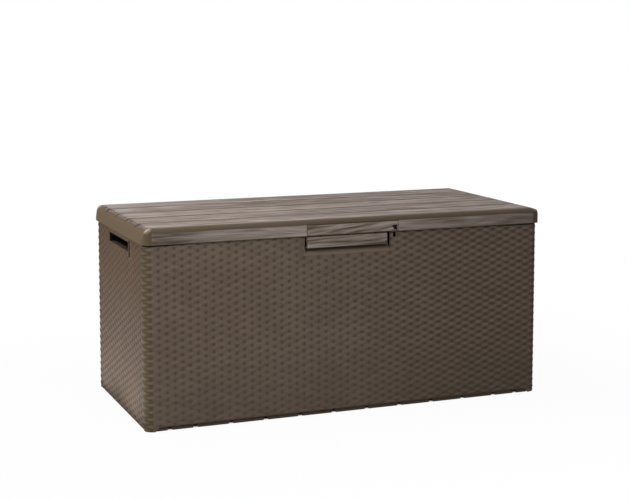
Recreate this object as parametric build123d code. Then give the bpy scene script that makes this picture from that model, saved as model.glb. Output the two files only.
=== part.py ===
from build123d import *
import os

# A deck storage box of moulded plastic, in millimetres.
# X runs along the box, the front faces -Y, Z is up and the floor it stands on is Z = 0.

# Walls
BODY_W = 1170.0
BODY_D = 534.0
CORNER_R = 20.0
SKIN = 3.5
RIM_Z = 510.0
RIM_FLANGE = 18.0
MOUTH_R = 4.0
SEAM = 0.4
SIDE_BOTTOM_Z = 2.0
WALL_RIB_X = (180.0, 300.0, 480.0)
WALL_RIB = (2.5, 14.0)
WALL_RIB_Z = (46.0, 425.0)

# Floor panel, in two halves, on rows of feet with a notch at every pitch
FLOOR_Z = 10.0
FLOOR_T = 3.5
FLOOR_GAP = 0.5
NOTCHES_X = (50.0, 150.0, 250.0, 350.0, 450.0, 521.0)
NOTCH = 8.0
NOTCH_SLOPE = 3.0
FOOT_ROW = 40.0
FOOT_SETBACK = 4.0
FEET_END = 562.0
UPSTAND = (3.0, 30.0)
UPSTAND_CLEAR = 5.0
SPLICE = (60.0, 490.0, 3.0)

# Corner posts
POST_LEG = 45.0
POST_T = 2.5
POST_TOP = 506.0

# Lid
OVERHANG = 8.0
SKIRT_Z = 500.0
LID_TOP = 543.0
LID_CORNER_R = 24.0
LID_SKIN = 3.5
LID_TOP_SKIN = 4.5
END_LIP = 3.0
END_DRAFT = 9.0
END_R = 22.0
EDGE_R = 11.0
PLANK = 107.5
GROOVE_W = 5.0
GROOVE_DEPTH = 2.2
GROOVE_LOW_Z = 535.0
LINER_Z = 512.0
LINER_T = 2.5
LINER_INSET = 9.0
LINER_RIB_T = 2.0
LINER_RIB_INSET = (20.0, 4.0)
LINER_RIBS_Y = (-215.0, -107.5, 0.0, 107.5, 205.0)
LINER_RIBS_X = (-540.0, -450.0, -310.0, -160.0, 0.0, 160.0, 310.0, 450.0, 540.0)
BUMPER_R = 7.0
BUMPER_AT = ((-480.0, -255.0), (480.0, -255.0), (-480.0, 255.0), (480.0, 255.0))
BUMPER_CLEAR = 0.3
BOSS_HALF = 30.0
BOSS_Y = (226.0, 259.0)

# Hinges at the back, one on each side of the middle
HINGE_X = 390.0
HINGE_Y = 268.0
HINGE_Z = 493.0
HINGE_R = 6.5
HINGE_PIN_R = 3.0
HINGE_PIN_HEAD = (4.5, 1.5)
RUNNING = 0.05
KNUCKLE_HALF = 33.0
KNUCKLE_FLANGE_Y = 224.0
KNUCKLE_FLANGE_Z = 508.5
CHEEK_IN = 34.0
CHEEK_OUT = 40.0
CHEEK_FOOT = 4.0
HINGE_WINDOW = 42.0
HINGE_WINDOW_Z = 474.0
BRACKET_HALF = 64.0
BRACKET_Z = (458.0, 505.0)
BRACKET_T = 4.0
STOP_Z = 484.3
SILL_Z = 479.0

# Latch: a plate let into the lid's skirt, and a flap hung from it over a pocket in the front wall
PLATE_X = (-133.0, 140.0)
PLATE_Z = (501.0, 530.5)
PLATE_GROOVE = 1.0
PLATE_FLANGE = (11.0, 3.0)
FLAP_X = (-135.0, 105.0)
FLAP_LOW_Z = 467.0
FLAP_T = 3.0
FLAP_PIVOT_Y = -268.5
FLAP_PIVOT_Z = 493.5
FLAP_R = 6.5
FLAP_PIN_R = 1.6
FLAP_PIN_INSET = 4.0
FLAP_LIP_Y = -253.3
LUG_X = (-95.0, -13.0, 69.0)
LUG_HALF = 5.0
LUG_R = 3.3
LUG_ARM_Z = (503.0, 509.0)
LUG_LEG_T = 3.5
LUG_GAP = 0.5
LUG_NOTCH_Z = 4.0
POCKET_X = (-141.0, 153.0)
POCKET_Z = (446.0, 506.0)
POCKET_T = 2.5
POCKET_BACK_Y = -245.0
POCKET_FLANGE = 10.0
LEDGE_FRONT_Z = 449.0
LEDGE_TOP_Z = 464.0
LEDGE_TOP_Y = -253.0
LEDGE_FOLD = 1.1
STOP_RIDGE = (2.5, 8.0)
HASP_X = (116.0, 153.0)
PADLOCK_LOW = (126.0, 134.0, 483.0, 498.0)
PADLOCK_HIGH = (121.0, 135.0, 505.0, 518.0)
PADLOCK_HIGH_STEP = 4.0

# Hand holes in the ends
HOLE_Y = (-91.0, 121.0)
HOLE_Z = (457.5, 484.0)
CUP_PLATE_Y = (-100.0, 137.0)
CUP_PLATE_Z = (445.0, 490.0)
CUP_SLOT = 9.0
CUP_DEPTH = 46.0
CUP_T = 2.5
CUP_ROOF_Z = 496.0
CUP_MARGIN = 9.0

# Fasteners
RIVET_R = 2.0
RIVET_HEAD = (5.0, 2.5)
RIVET_INTO_WALL = 2.2
POST_RIVET_Z = (80.0, 250.0, 410.0)
POST_RIVET_IN = 26.0
POCKET_RIVET_Z = (451.0, 491.0)
CUP_RIVET_Z = (456.0, 486.0)
SCREW_R = 2.0
SCREW_HEAD = (4.0, 2.0)
SPLICE_SCREW_X = (-18.0, 18.0)
SPLICE_SCREW_Y = (-239.0, 0.0, 239.0)
SPLICE_SCREW_LENGTH = 12.0
LID_SCREW_X = (-22.0, 22.0)
LID_SCREW_Y = (233.0, 252.0)
LID_SCREW_LENGTH = 14.0
PLATE_SCREW_OUT = 6.0
PLATE_SCREW_Z = (516.0, 525.0)
PLATE_SCREW_LENGTH = 5.0
BOLT_R = 2.5
BOLT_HEAD = (5.0, 2.5)
BOLT_X = (-53.0, 53.0)
BOLT_Z = (468.0, 494.0)
BOLT_PAST_NUT = 1.0
NUT = (5.0, 4.0)
HOLE_CLEAR = 0.1

WALL_X = BODY_W / 2
WALL_Y = BODY_D / 2
INNER_X = WALL_X - SKIN
INNER_Y = WALL_Y - SKIN
CORNER_Y = WALL_Y - CORNER_R
LID_X = WALL_X + OVERHANG
LID_Y = WALL_Y + OVERHANG
SKIRT_IN_Y = LID_Y - LID_SKIN
LID_UNDER = LID_TOP - LID_TOP_SKIN
FLOOR_TOP = FLOOR_Z + FLOOR_T
SPLICE_TOP = FLOOR_TOP + SPLICE[2]
PLATE_BACK_Y = -SKIRT_IN_Y + PLATE_FLANGE[1]
RIVET_LENGTH = POST_T + RIVET_INTO_WALL
HINGE_BOLT_LENGTH = SKIN + BRACKET_T + NUT[1] + BOLT_PAST_NUT

# A cutter runs this far past the face it cuts, or far past the whole box
PAST = 1.0
FAR = 2000.0


def block(x, y, z):
    """A rectangular block between two coordinates along each axis."""
    size = Box(x[1] - x[0], y[1] - y[0], z[1] - z[0])
    return Pos((x[0] + x[1]) / 2, (y[0] + y[1]) / 2, (z[0] + z[1]) / 2) * size


def rod(start, direction, radius, length):
    """A round bar that starts at a point and runs along a direction."""
    return extrude(Plane(start, z_dir=direction) * Circle(radius), length)


def along_x(points, x):
    """A profile drawn in Y and Z, pulled from one X to another."""
    face = make_face(Polyline(*[(0, py, pz) for py, pz in points], close=True))
    return Pos(x[0], 0, 0) * extrude(face, x[1] - x[0], dir=(1, 0, 0))


def along_y(face_xz, y):
    """A face drawn on the XZ plane, pulled from one Y to another."""
    return Pos(0, y[0], 0) * extrude(face_xz, y[1] - y[0], dir=(0, 1, 0))


def rounded_plate(width, depth, radius, z):
    """A plate with rounded corners, centred on the Z axis."""
    return Pos(0, 0, z[0]) * extrude(RectangleRounded(width, depth, radius), z[1] - z[0])


def fastener(start, direction, radius, length, head):
    """A headed pin: the head stands on the start point, the shank goes along the direction."""
    shank = rod(start, direction, radius, length)
    back = tuple(-d for d in direction)
    return shank + rod(start, back, head[0], head[1])


def fastener_hole(start, direction, radius, length):
    return rod(start, direction, radius + HOLE_CLEAR, length + HOLE_CLEAR)


# Places of the fasteners: (point under the head, direction)

def post_rivets():
    """Rivets go from inside the box, through a post's leg, into the wall."""
    places = []
    for sx in (-1, 1):
        for sy in (-1, 1):
            for z in POST_RIVET_Z:
                x = sx * (WALL_X - CORNER_R - POST_RIVET_IN)
                y = sy * (CORNER_Y - POST_RIVET_IN)
                places.append(((x, sy * (INNER_Y - POST_T), z), (0, sy, 0)))
                places.append(((sx * (INNER_X - POST_T), y, z), (sx, 0, 0)))
    return places


def pocket_rivets():
    half = POCKET_FLANGE / 2
    xs = (POCKET_X[0] - half, POCKET_X[1] + half)
    return [((x, -INNER_Y + POCKET_T, z), (0, -1, 0)) for x in xs for z in POCKET_RIVET_Z]


def cup_rivets():
    half = CUP_MARGIN / 2
    ys = (CUP_PLATE_Y[0] - CUP_SLOT - half, CUP_PLATE_Y[1] + half)
    rows = []
    for sx in (-1, 1):
        for y in ys:
            for z in CUP_RIVET_Z:
                rows.append(((sx * (INNER_X - CUP_T), y, z), (sx, 0, 0)))
    return rows


RIVETS = post_rivets() + pocket_rivets() + cup_rivets()
SPLICE_SCREWS = [((x, y, SPLICE_TOP), (0, 0, -1)) for x in SPLICE_SCREW_X for y in SPLICE_SCREW_Y]
HINGE_BOLTS = [
    ((sx * HINGE_X + dx, WALL_Y, z), (0, -1, 0))
    for sx in (-1, 1)
    for dx in BOLT_X
    for z in BOLT_Z
]
LID_SCREWS = [
    ((sx * HINGE_X + dx, y, KNUCKLE_FLANGE_Z), (0, 0, 1))
    for sx in (-1, 1)
    for dx in LID_SCREW_X
    for y in LID_SCREW_Y
]
PLATE_SCREWS = [
    ((x, PLATE_BACK_Y, z), (0, -1, 0))
    for x in (PLATE_X[0] - PLATE_SCREW_OUT, PLATE_X[1] + PLATE_SCREW_OUT)
    for z in PLATE_SCREW_Z
]


def cut_holes(part, places, radius, length):
    for start, direction in places:
        part = part - fastener_hole(start, direction, radius, length)
    return part


def rivet_holes(part, places):
    return cut_holes(part, places, RIVET_R, RIVET_LENGTH)


def near(places, part):
    """Only the fasteners whose shank starts close to the part."""
    box = part.bounding_box()
    reach = RIVET_LENGTH + HOLE_CLEAR
    low = box.min - Vector(reach, reach, reach)
    high = box.max + Vector(reach, reach, reach)
    inside = []
    for start, direction in places:
        p = Vector(*start)
        if low.X <= p.X <= high.X and low.Y <= p.Y <= high.Y and low.Z <= p.Z <= high.Z:
            inside.append((start, direction))
    return inside


# Walls

def wall_ring():
    """The skin of all four walls with its inward rim flange, before it is parted at the seams."""
    inner = rounded_plate(2 * INNER_X, 2 * INNER_Y, CORNER_R - SKIN, (-PAST, RIM_Z - SKIN))
    mouth = rounded_plate(
        2 * (INNER_X - RIM_FLANGE), 2 * (INNER_Y - RIM_FLANGE), MOUTH_R, (RIM_Z - 2 * SKIN, RIM_Z + PAST)
    )
    return rounded_plate(BODY_W, BODY_D, CORNER_R, (0, RIM_Z)) - inner - mouth


def long_wall(side):
    """The front (-1) or back (+1) wall, with a quarter of the rounding at each end."""
    y = sorted((side * CORNER_Y, side * FAR))
    wall = wall_ring() & block((-FAR, FAR), y, (-PAST, FAR))
    step = Polyline(
        (-FEET_END - PAST, 0, -PAST), (-FEET_END + FLOOR_Z, 0, FLOOR_Z),
        (FEET_END - FLOOR_Z, 0, FLOOR_Z), (FEET_END + PAST, 0, -PAST), close=True,
    )
    wall = wall - along_y(make_face(step), sorted((side * (CORNER_Y - PAST), side * FAR)))
    rib_y = sorted((side * INNER_Y, side * (INNER_Y - WALL_RIB[1])))
    for x in WALL_RIB_X:
        for sx in (-1, 1):
            rib_x = (sx * x - WALL_RIB[0] / 2, sx * x + WALL_RIB[0] / 2)
            wall = wall + block(rib_x, rib_y, WALL_RIB_Z)
    return wall


def front_wall():
    window = block(POCKET_X, (-FAR, -INNER_Y + RIM_FLANGE + PAST), (POCKET_Z[0], FAR))
    wall = long_wall(-1) - window
    return rivet_holes(wall, near(RIVETS, wall))


def back_wall():
    wall = long_wall(1)
    for sx in (-1, 1):
        x = (sx * HINGE_X - HINGE_WINDOW, sx * HINGE_X + HINGE_WINDOW)
        wall = wall - block(x, (INNER_Y - RIM_FLANGE - PAST, FAR), (HINGE_WINDOW_Z, FAR))
    wall = rivet_holes(wall, near(RIVETS, wall))
    return cut_holes(wall, HINGE_BOLTS, BOLT_R, HINGE_BOLT_LENGTH)


def end_wall(side):
    """The left (-1) or right (+1) end wall, flat, between the rounded ends of the long walls."""
    x = sorted((side * (WALL_X - RIM_FLANGE - SKIN - PAST), side * FAR))
    y = (-CORNER_Y + SEAM, CORNER_Y - SEAM)
    wall = wall_ring() & block(x, y, (SIDE_BOTTOM_Z, FAR))
    window_y = (CUP_PLATE_Y[0] - CUP_SLOT, CUP_PLATE_Y[1] + SEAM)
    window_z = (CUP_PLATE_Z[0] - SEAM, CUP_PLATE_Z[1] + SEAM)
    wall = wall - block(x, window_y, window_z)
    return rivet_holes(wall, near(RIVETS, wall))


def hand_cup(side):
    """A cup behind the hand hole. Its plate lies flush in the wall and fingers reach up behind it."""
    def x(near_in, far_in):
        return sorted((side * (WALL_X - near_in), side * (WALL_X - far_in)))

    plate = block(x(0, SKIN), CUP_PLATE_Y, CUP_PLATE_Z)
    back_y = (CUP_PLATE_Y[0] - CUP_SLOT - CUP_MARGIN, CUP_PLATE_Y[1] + CUP_MARGIN)
    back_z = (CUP_PLATE_Z[0] - CUP_MARGIN, CUP_ROOF_Z + CUP_T)
    plate = plate + block(x(SKIN, SKIN + CUP_T), back_y, back_z)
    box_y = (HOLE_Y[0] - CUP_T, HOLE_Y[1] + CUP_T)
    box_z = (HOLE_Z[0] - CUP_T, CUP_ROOF_Z + CUP_T)
    cup = plate + block(x(SKIN, CUP_DEPTH + CUP_T), box_y, box_z)
    room = block(x(SKIN + CUP_T, CUP_DEPTH), HOLE_Y, (HOLE_Z[0], CUP_ROOF_Z))
    mouth = block(x(-PAST, SKIN + CUP_T + PAST), HOLE_Y, HOLE_Z)
    slot_y = (CUP_PLATE_Y[0] - CUP_SLOT, CUP_PLATE_Y[0])
    slot = block(x(0, SKIN + CUP_T + PAST), slot_y, CUP_PLATE_Z)
    cup = cup - room - mouth - slot
    return rivet_holes(cup, near(RIVETS, cup))


def corner_post(sx, sy):
    """An angle with a flattened heel, standing inside a corner, one leg on each wall."""
    heel_x = WALL_X - CORNER_R
    cut = POST_T * (2 ** 0.5 - 1)
    points = [
        (heel_x - POST_LEG, INNER_Y),
        (heel_x, INNER_Y),
        (INNER_X, CORNER_Y),
        (INNER_X, CORNER_Y - POST_LEG),
        (INNER_X - POST_T, CORNER_Y - POST_LEG),
        (INNER_X - POST_T, CORNER_Y - cut),
        (heel_x - cut, INNER_Y - POST_T),
        (heel_x - POST_LEG, INNER_Y - POST_T),
    ]
    plan = make_face(Polyline(*[(sx * px, sy * py) for px, py in points], close=True))
    post = Pos(0, 0, FLOOR_TOP) * extrude(plan, POST_TOP - FLOOR_TOP, dir=(0, 0, 1))
    return rivet_holes(post, near(RIVETS, post))


# Floor

def foot_spans():
    """X spans of the feet at their top, between the notches and the corners."""
    cuts = sorted([-x for x in NOTCHES_X] + list(NOTCHES_X))
    starts = [-FEET_END] + [x + NOTCH / 2 for x in cuts]
    ends = [x - NOTCH / 2 for x in cuts] + [FEET_END]
    return list(zip(starts, ends))


def feet():
    row = WALL_Y - FOOT_SETBACK
    rows = ((-row, -row + FOOT_ROW), (-FOOT_ROW / 2, FOOT_ROW / 2), (row - FOOT_ROW, row))
    pads = []
    for low, high in foot_spans():
        outline = Polyline(
            (low, 0, FLOOR_Z), (low + NOTCH_SLOPE, 0, 0), (high - NOTCH_SLOPE, 0, 0), (high, 0, FLOOR_Z),
            close=True,
        )
        for y in rows:
            pads.append(along_y(make_face(outline), y))
    return pads


def floor_half(side):
    """Half of the floor panel: a plate with upstands along the walls and feet under it."""
    edge_x = INNER_X - FLOOR_GAP
    edge_y = INNER_Y - FLOOR_GAP
    plate = rounded_plate(2 * edge_x, 2 * edge_y, CORNER_R - SKIN, (FLOOR_Z, FLOOR_TOP))
    top = FLOOR_TOP + UPSTAND[1]
    lip_x = WALL_X - CORNER_R - POST_LEG - UPSTAND_CLEAR
    lip_y = CORNER_Y - POST_LEG - UPSTAND_CLEAR
    for sy in (-1, 1):
        y = sorted((sy * edge_y, sy * (edge_y - UPSTAND[0])))
        plate = plate + block((-lip_x, lip_x), y, (FLOOR_Z, top))
    for sx in (-1, 1):
        x = sorted((sx * edge_x, sx * (edge_x - UPSTAND[0])))
        plate = plate + block(x, (-lip_y, lip_y), (FLOOR_Z, top))
    panel = plate + feet()
    half = panel & block(sorted((side * FLOOR_GAP / 2, side * FAR)), (-FAR, FAR), (-PAST, FAR))
    return cut_holes(half, SPLICE_SCREWS, SCREW_R, SPLICE_SCREW_LENGTH)


def floor_splice():
    plate = block(
        (-SPLICE[0] / 2, SPLICE[0] / 2), (-SPLICE[1] / 2, SPLICE[1] / 2), (FLOOR_TOP, SPLICE_TOP)
    )
    return cut_holes(plate, SPLICE_SCREWS, SCREW_R, SPLICE_SCREW_LENGTH)


# Lid

def end_profile(inset_side, inset_top, radius):
    """The lid's outline seen from the front: a short lip, drafted ends and rounded shoulders."""
    lip_x = LID_X - inset_side
    top_x = LID_X - END_DRAFT - inset_side
    top = LID_TOP - inset_top
    half = [(lip_x, SKIRT_Z - inset_side), (lip_x, SKIRT_Z + END_LIP), (top_x, top)]
    points = half + [(-px, pz) for px, pz in reversed(half)]
    face = Plane.XZ * make_face(Polyline(*points, close=True))
    return fillet(face.vertices().group_by(Axis.Z)[-1], radius)


def edge_profile(inset_side, inset_top, radius):
    """The lid's outline seen from the end: an upright skirt with a rounded edge."""
    y = LID_Y - inset_side
    top = LID_TOP - inset_top
    low = SKIRT_Z - inset_side
    face = Plane.YZ * make_face(Polyline((-y, low), (-y, top), (y, top), (y, low), close=True))
    return fillet(face.vertices().group_by(Axis.Z)[-1], radius)


def lid_form(inset_side, inset_top, shrink):
    ends = along_y(end_profile(inset_side, inset_top, END_R - shrink), (-LID_Y, LID_Y))
    edges = extrude(edge_profile(inset_side, inset_top, EDGE_R - shrink), LID_X, both=True)
    plan = rounded_plate(
        2 * (LID_X - inset_side), 2 * (LID_Y - inset_side), LID_CORNER_R - inset_side,
        (SKIRT_Z - inset_side, LID_TOP),
    )
    return ends & edges & plan


def plank_grooves():
    """The gaps between the five planks, which also run down over the rounded ends."""
    bed = end_profile(GROOVE_DEPTH, GROOVE_DEPTH, END_R - GROOVE_DEPTH)
    sky = Plane.XZ * Pos(0, (GROOVE_LOW_Z + FAR) / 2) * Rectangle(2 * FAR, FAR - GROOVE_LOW_Z)
    cutter = sky - bed
    grooves = []
    for i in (-1.5, -0.5, 0.5, 1.5):
        y = i * PLANK
        grooves.append(along_y(cutter, (y - GROOVE_W / 2, y + GROOVE_W / 2)))
    return grooves


def plate_window():
    x = (PLATE_X[0] - PLATE_GROOVE, PLATE_X[1] + PLATE_GROOVE)
    return block(x, (-LID_Y - PAST, -SKIRT_IN_Y + PAST), (SKIRT_Z - PAST, PLATE_Z[1] + PLATE_GROOVE))


def lid_shell():
    shell = lid_form(0, 0, 0) - lid_form(LID_SKIN, LID_TOP_SKIN, LID_SKIN)
    for groove in plank_grooves():
        shell = shell - groove
    shell = shell - plate_window()
    return cut_holes(shell, PLATE_SCREWS, SCREW_R, PLATE_SCREW_LENGTH)


def lid_liner():
    """The inner skin, with ribs that stand up to the planks, and bosses over the hinges."""
    half_x = LID_X - LINER_INSET
    half_y = LID_Y - LINER_INSET
    liner = rounded_plate(2 * half_x, 2 * half_y, CORNER_R, (LINER_Z, LINER_Z + LINER_T))
    rib_x = half_x - LINER_RIB_INSET[0]
    rib_y = half_y - LINER_RIB_INSET[1]
    rib_z = (LINER_Z, LID_UNDER)
    t = LINER_RIB_T / 2
    for y in LINER_RIBS_Y:
        liner = liner + block((-rib_x, rib_x), (y - t, y + t), rib_z)
    for x in LINER_RIBS_X:
        liner = liner + block((x - t, x + t), (-rib_y, rib_y), rib_z)
    for sx in (-1, 1):
        boss_x = (sx * HINGE_X - BOSS_HALF, sx * HINGE_X + BOSS_HALF)
        boss_z = (LINER_Z, KNUCKLE_FLANGE_Z + LID_SCREW_LENGTH + LINER_T)
        liner = liner + block(boss_x, BOSS_Y, boss_z)
    return cut_holes(liner, LID_SCREWS, SCREW_R, LID_SCREW_LENGTH)


def lid_bumpers():
    z = RIM_Z + BUMPER_CLEAR
    return [rod((x, y, z), (0, 0, 1), BUMPER_R, LINER_Z - z) for x, y in BUMPER_AT]


# Hinges

def hinge_axis_rod(side, x0, x1, radius):
    return rod((side * HINGE_X + x0, HINGE_Y, HINGE_Z), (1, 0, 0), radius, x1 - x0)


def hinge_bracket(side):
    """Bolted inside the back wall: two cheeks hold the pin, and a sill stops the lid."""
    def x(low, high):
        return (side * HINGE_X + low, side * HINGE_X + high)

    flange = block(x(-BRACKET_HALF, BRACKET_HALF), (INNER_Y - BRACKET_T, INNER_Y), BRACKET_Z)
    flange = flange - block(x(-CHEEK_OUT, CHEEK_OUT), (0, FAR), (SILL_Z, FAR))
    sill_y = (INNER_Y - BRACKET_T, LID_Y)
    bracket = flange + block(x(-CHEEK_OUT, CHEEK_OUT), sill_y, (SILL_Z, STOP_Z))
    for low in (-CHEEK_OUT, CHEEK_IN):
        span = x(low, low + CHEEK_OUT - CHEEK_IN)
        web = block(span, (INNER_Y - BRACKET_T, HINGE_Y), (SILL_Z, HINGE_Z + HINGE_R))
        foot = block(span, (HINGE_Y, HINGE_Y + CHEEK_FOOT), (SILL_Z, HINGE_Z))
        eye = rod((span[0], HINGE_Y, HINGE_Z), (1, 0, 0), HINGE_R, span[1] - span[0])
        bracket = bracket + web + foot + eye
    bore = hinge_axis_rod(side, -CHEEK_OUT - PAST, CHEEK_OUT + PAST, HINGE_PIN_R + RUNNING)
    return cut_holes(bracket - bore, HINGE_BOLTS, BOLT_R, HINGE_BOLT_LENGTH)


def hinge_knuckle(side):
    """Screwed under the lid: a flange and an arm that ends in the knuckle around the pin."""
    def x(half):
        return (side * HINGE_X - half, side * HINGE_X + half)

    arm_y = (HINGE_Y - HINGE_R, SKIRT_IN_Y - SEAM)
    flange = block(x(KNUCKLE_HALF), (KNUCKLE_FLANGE_Y, arm_y[1]), (KNUCKLE_FLANGE_Z, LINER_Z))
    arm = block(x(KNUCKLE_HALF), arm_y, (HINGE_Z, LINER_Z))
    knuckle = flange + arm + hinge_axis_rod(side, -KNUCKLE_HALF, KNUCKLE_HALF, HINGE_R)
    bore = hinge_axis_rod(side, -KNUCKLE_HALF - PAST, KNUCKLE_HALF + PAST, HINGE_PIN_R + RUNNING)
    return cut_holes(knuckle - bore, LID_SCREWS, SCREW_R, LID_SCREW_LENGTH)


def hinge_pin(side):
    head = hinge_axis_rod(side, CHEEK_OUT, CHEEK_OUT + HINGE_PIN_HEAD[1], HINGE_PIN_HEAD[0])
    return hinge_axis_rod(side, -CHEEK_OUT, CHEEK_OUT + PAST, HINGE_PIN_R) + head


# Latch

def latch_plate():
    """The plate in the skirt's window, its flange behind the skirt, and the lugs that carry the flap."""
    y_in = -SKIRT_IN_Y
    plate = block(PLATE_X, (-LID_Y, y_in), PLATE_Z)
    flange_x = (PLATE_X[0] - PLATE_FLANGE[0], PLATE_X[1] + PLATE_FLANGE[0])
    part = plate + block(flange_x, (y_in, PLATE_BACK_Y), PLATE_Z)
    leg_y = (FLAP_PIVOT_Y + FLAP_R, FLAP_PIVOT_Y + FLAP_R + LUG_LEG_T)
    low = FLAP_PIVOT_Z - LUG_R
    for lug in LUG_X:
        x = (lug - LUG_HALF, lug + LUG_HALF)
        arm = block(x, (PLATE_BACK_Y, leg_y[1]), LUG_ARM_Z)
        leg = block(x, leg_y, (low, LUG_ARM_Z[1]))
        foot = block(x, (FLAP_PIVOT_Y, leg_y[1]), (low, FLAP_PIVOT_Z + LUG_R))
        eye = rod((x[0], FLAP_PIVOT_Y, FLAP_PIVOT_Z), (1, 0, 0), LUG_R, 2 * LUG_HALF)
        part = part + arm + leg + foot + eye
    x0, x1, z0, z1 = PADLOCK_HIGH
    middle = (z0 + z1) / 2
    hole = block((x0, x1), (-FAR, 0), (middle, z1))
    hole = hole + block((x0 + PADLOCK_HIGH_STEP, x1), (-FAR, 0), (z0, middle))
    part = part - hole - flap_bore()
    return cut_holes(part, PLATE_SCREWS, SCREW_R, PLATE_SCREW_LENGTH)


def flap_bore():
    start = (FLAP_X[0] - PAST, FLAP_PIVOT_Y, FLAP_PIVOT_Z)
    return rod(start, (1, 0, 0), FLAP_PIN_R + RUNNING, FLAP_X[1] - FLAP_X[0] + 2 * PAST)


def latch_flap():
    """The pull flap: a front, a barrel around the pin along its top, and a lip for the fingers below."""
    front_y = FLAP_PIVOT_Y - FLAP_R
    flap = block(FLAP_X, (front_y, front_y + FLAP_T), (FLAP_LOW_Z, FLAP_PIVOT_Z))
    flap = flap + block(FLAP_X, (front_y, FLAP_LIP_Y), (FLAP_LOW_Z, FLAP_LOW_Z + FLAP_T))
    start = (FLAP_X[0], FLAP_PIVOT_Y, FLAP_PIVOT_Z)
    flap = flap + rod(start, (1, 0, 0), FLAP_R, FLAP_X[1] - FLAP_X[0])
    back_y = FLAP_PIVOT_Y + FLAP_R + PAST
    top_z = FLAP_PIVOT_Z + FLAP_R + PAST
    for lug in LUG_X:
        x = (lug - LUG_HALF - LUG_GAP, lug + LUG_HALF + LUG_GAP)
        flap = flap - block(x, (front_y + FLAP_T, back_y), (FLAP_PIVOT_Z - FLAP_R, top_z))
        flap = flap - block(x, (front_y - PAST, back_y), (FLAP_PIVOT_Z + LUG_NOTCH_Z, top_z))
    return flap - flap_bore()


def flap_pin():
    start = (FLAP_X[0] + FLAP_PIN_INSET, FLAP_PIVOT_Y, FLAP_PIVOT_Z)
    return rod(start, (1, 0, 0), FLAP_PIN_R, FLAP_X[1] - FLAP_X[0] - 2 * FLAP_PIN_INSET)


def latch_pocket():
    """The pocket behind the flap: a sloping ledge, a back, a ridge the flap rests on, and the hasp."""
    y_out = -WALL_Y
    y_in = -INNER_Y
    back = POCKET_BACK_Y
    profile = [
        (y_out, LEDGE_FRONT_Z),
        (LEDGE_TOP_Y, LEDGE_TOP_Z),
        (back, LEDGE_TOP_Z),
        (back, POCKET_Z[1]),
        (back + POCKET_T, POCKET_Z[1]),
        (back + POCKET_T, LEDGE_TOP_Z - POCKET_T),
        (LEDGE_TOP_Y + LEDGE_FOLD, LEDGE_TOP_Z - POCKET_T),
        (y_in, LEDGE_FRONT_Z),
        (y_in, POCKET_Z[0]),
        (y_out, POCKET_Z[0]),
    ]
    pocket = along_x(profile, POCKET_X)
    depth = (y_out, back + POCKET_T)
    pocket = pocket + block((POCKET_X[0], POCKET_X[0] + POCKET_T), depth, POCKET_Z)
    pocket = pocket + block((POCKET_X[1] - POCKET_T, POCKET_X[1]), depth, POCKET_Z)
    flange_x = (POCKET_X[0] - POCKET_FLANGE, POCKET_X[1] + POCKET_FLANGE)
    flange = block(flange_x, (y_in, y_in + POCKET_T), (POCKET_Z[0] - POCKET_FLANGE, POCKET_Z[1] - PAST))
    pocket = pocket + (flange - block(POCKET_X, (-FAR, 0), (POCKET_Z[0] + POCKET_T, FAR)))
    ridge_y = (LEDGE_TOP_Y, LEDGE_TOP_Y + STOP_RIDGE[0])
    ridge_z = (LEDGE_TOP_Z - POCKET_T, LEDGE_TOP_Z + STOP_RIDGE[1])
    pocket = pocket + block((FLAP_X[0], FLAP_X[1]), ridge_y, ridge_z)
    hasp_z = (LEDGE_FRONT_Z - PAST, POCKET_Z[1])
    hasp = block(HASP_X, (y_out, y_in), hasp_z)
    web = block((HASP_X[0], HASP_X[0] + POCKET_T), depth, hasp_z)
    x0, x1, z0, z1 = PADLOCK_LOW
    pocket = pocket + web + hasp - block((x0, x1), (-FAR, back - PAST), (z0, z1))
    return rivet_holes(pocket, near(RIVETS, pocket))


# Groups of fasteners

def group(places, radius, length, head):
    return [fastener(start, direction, radius, length, head) for start, direction in places]


def hinge_nuts():
    """A hexagon nut inside the box on each hinge bolt."""
    nuts = []
    for (x, y, z), direction in HINGE_BOLTS:
        at = (x, INNER_Y - BRACKET_T, z)
        body = extrude(Plane(at, z_dir=direction) * RegularPolygon(NUT[0], 6), NUT[1])
        nuts.append(body - rod(at, direction, BOLT_R + HOLE_CLEAR, NUT[1]))
    return nuts


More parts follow.
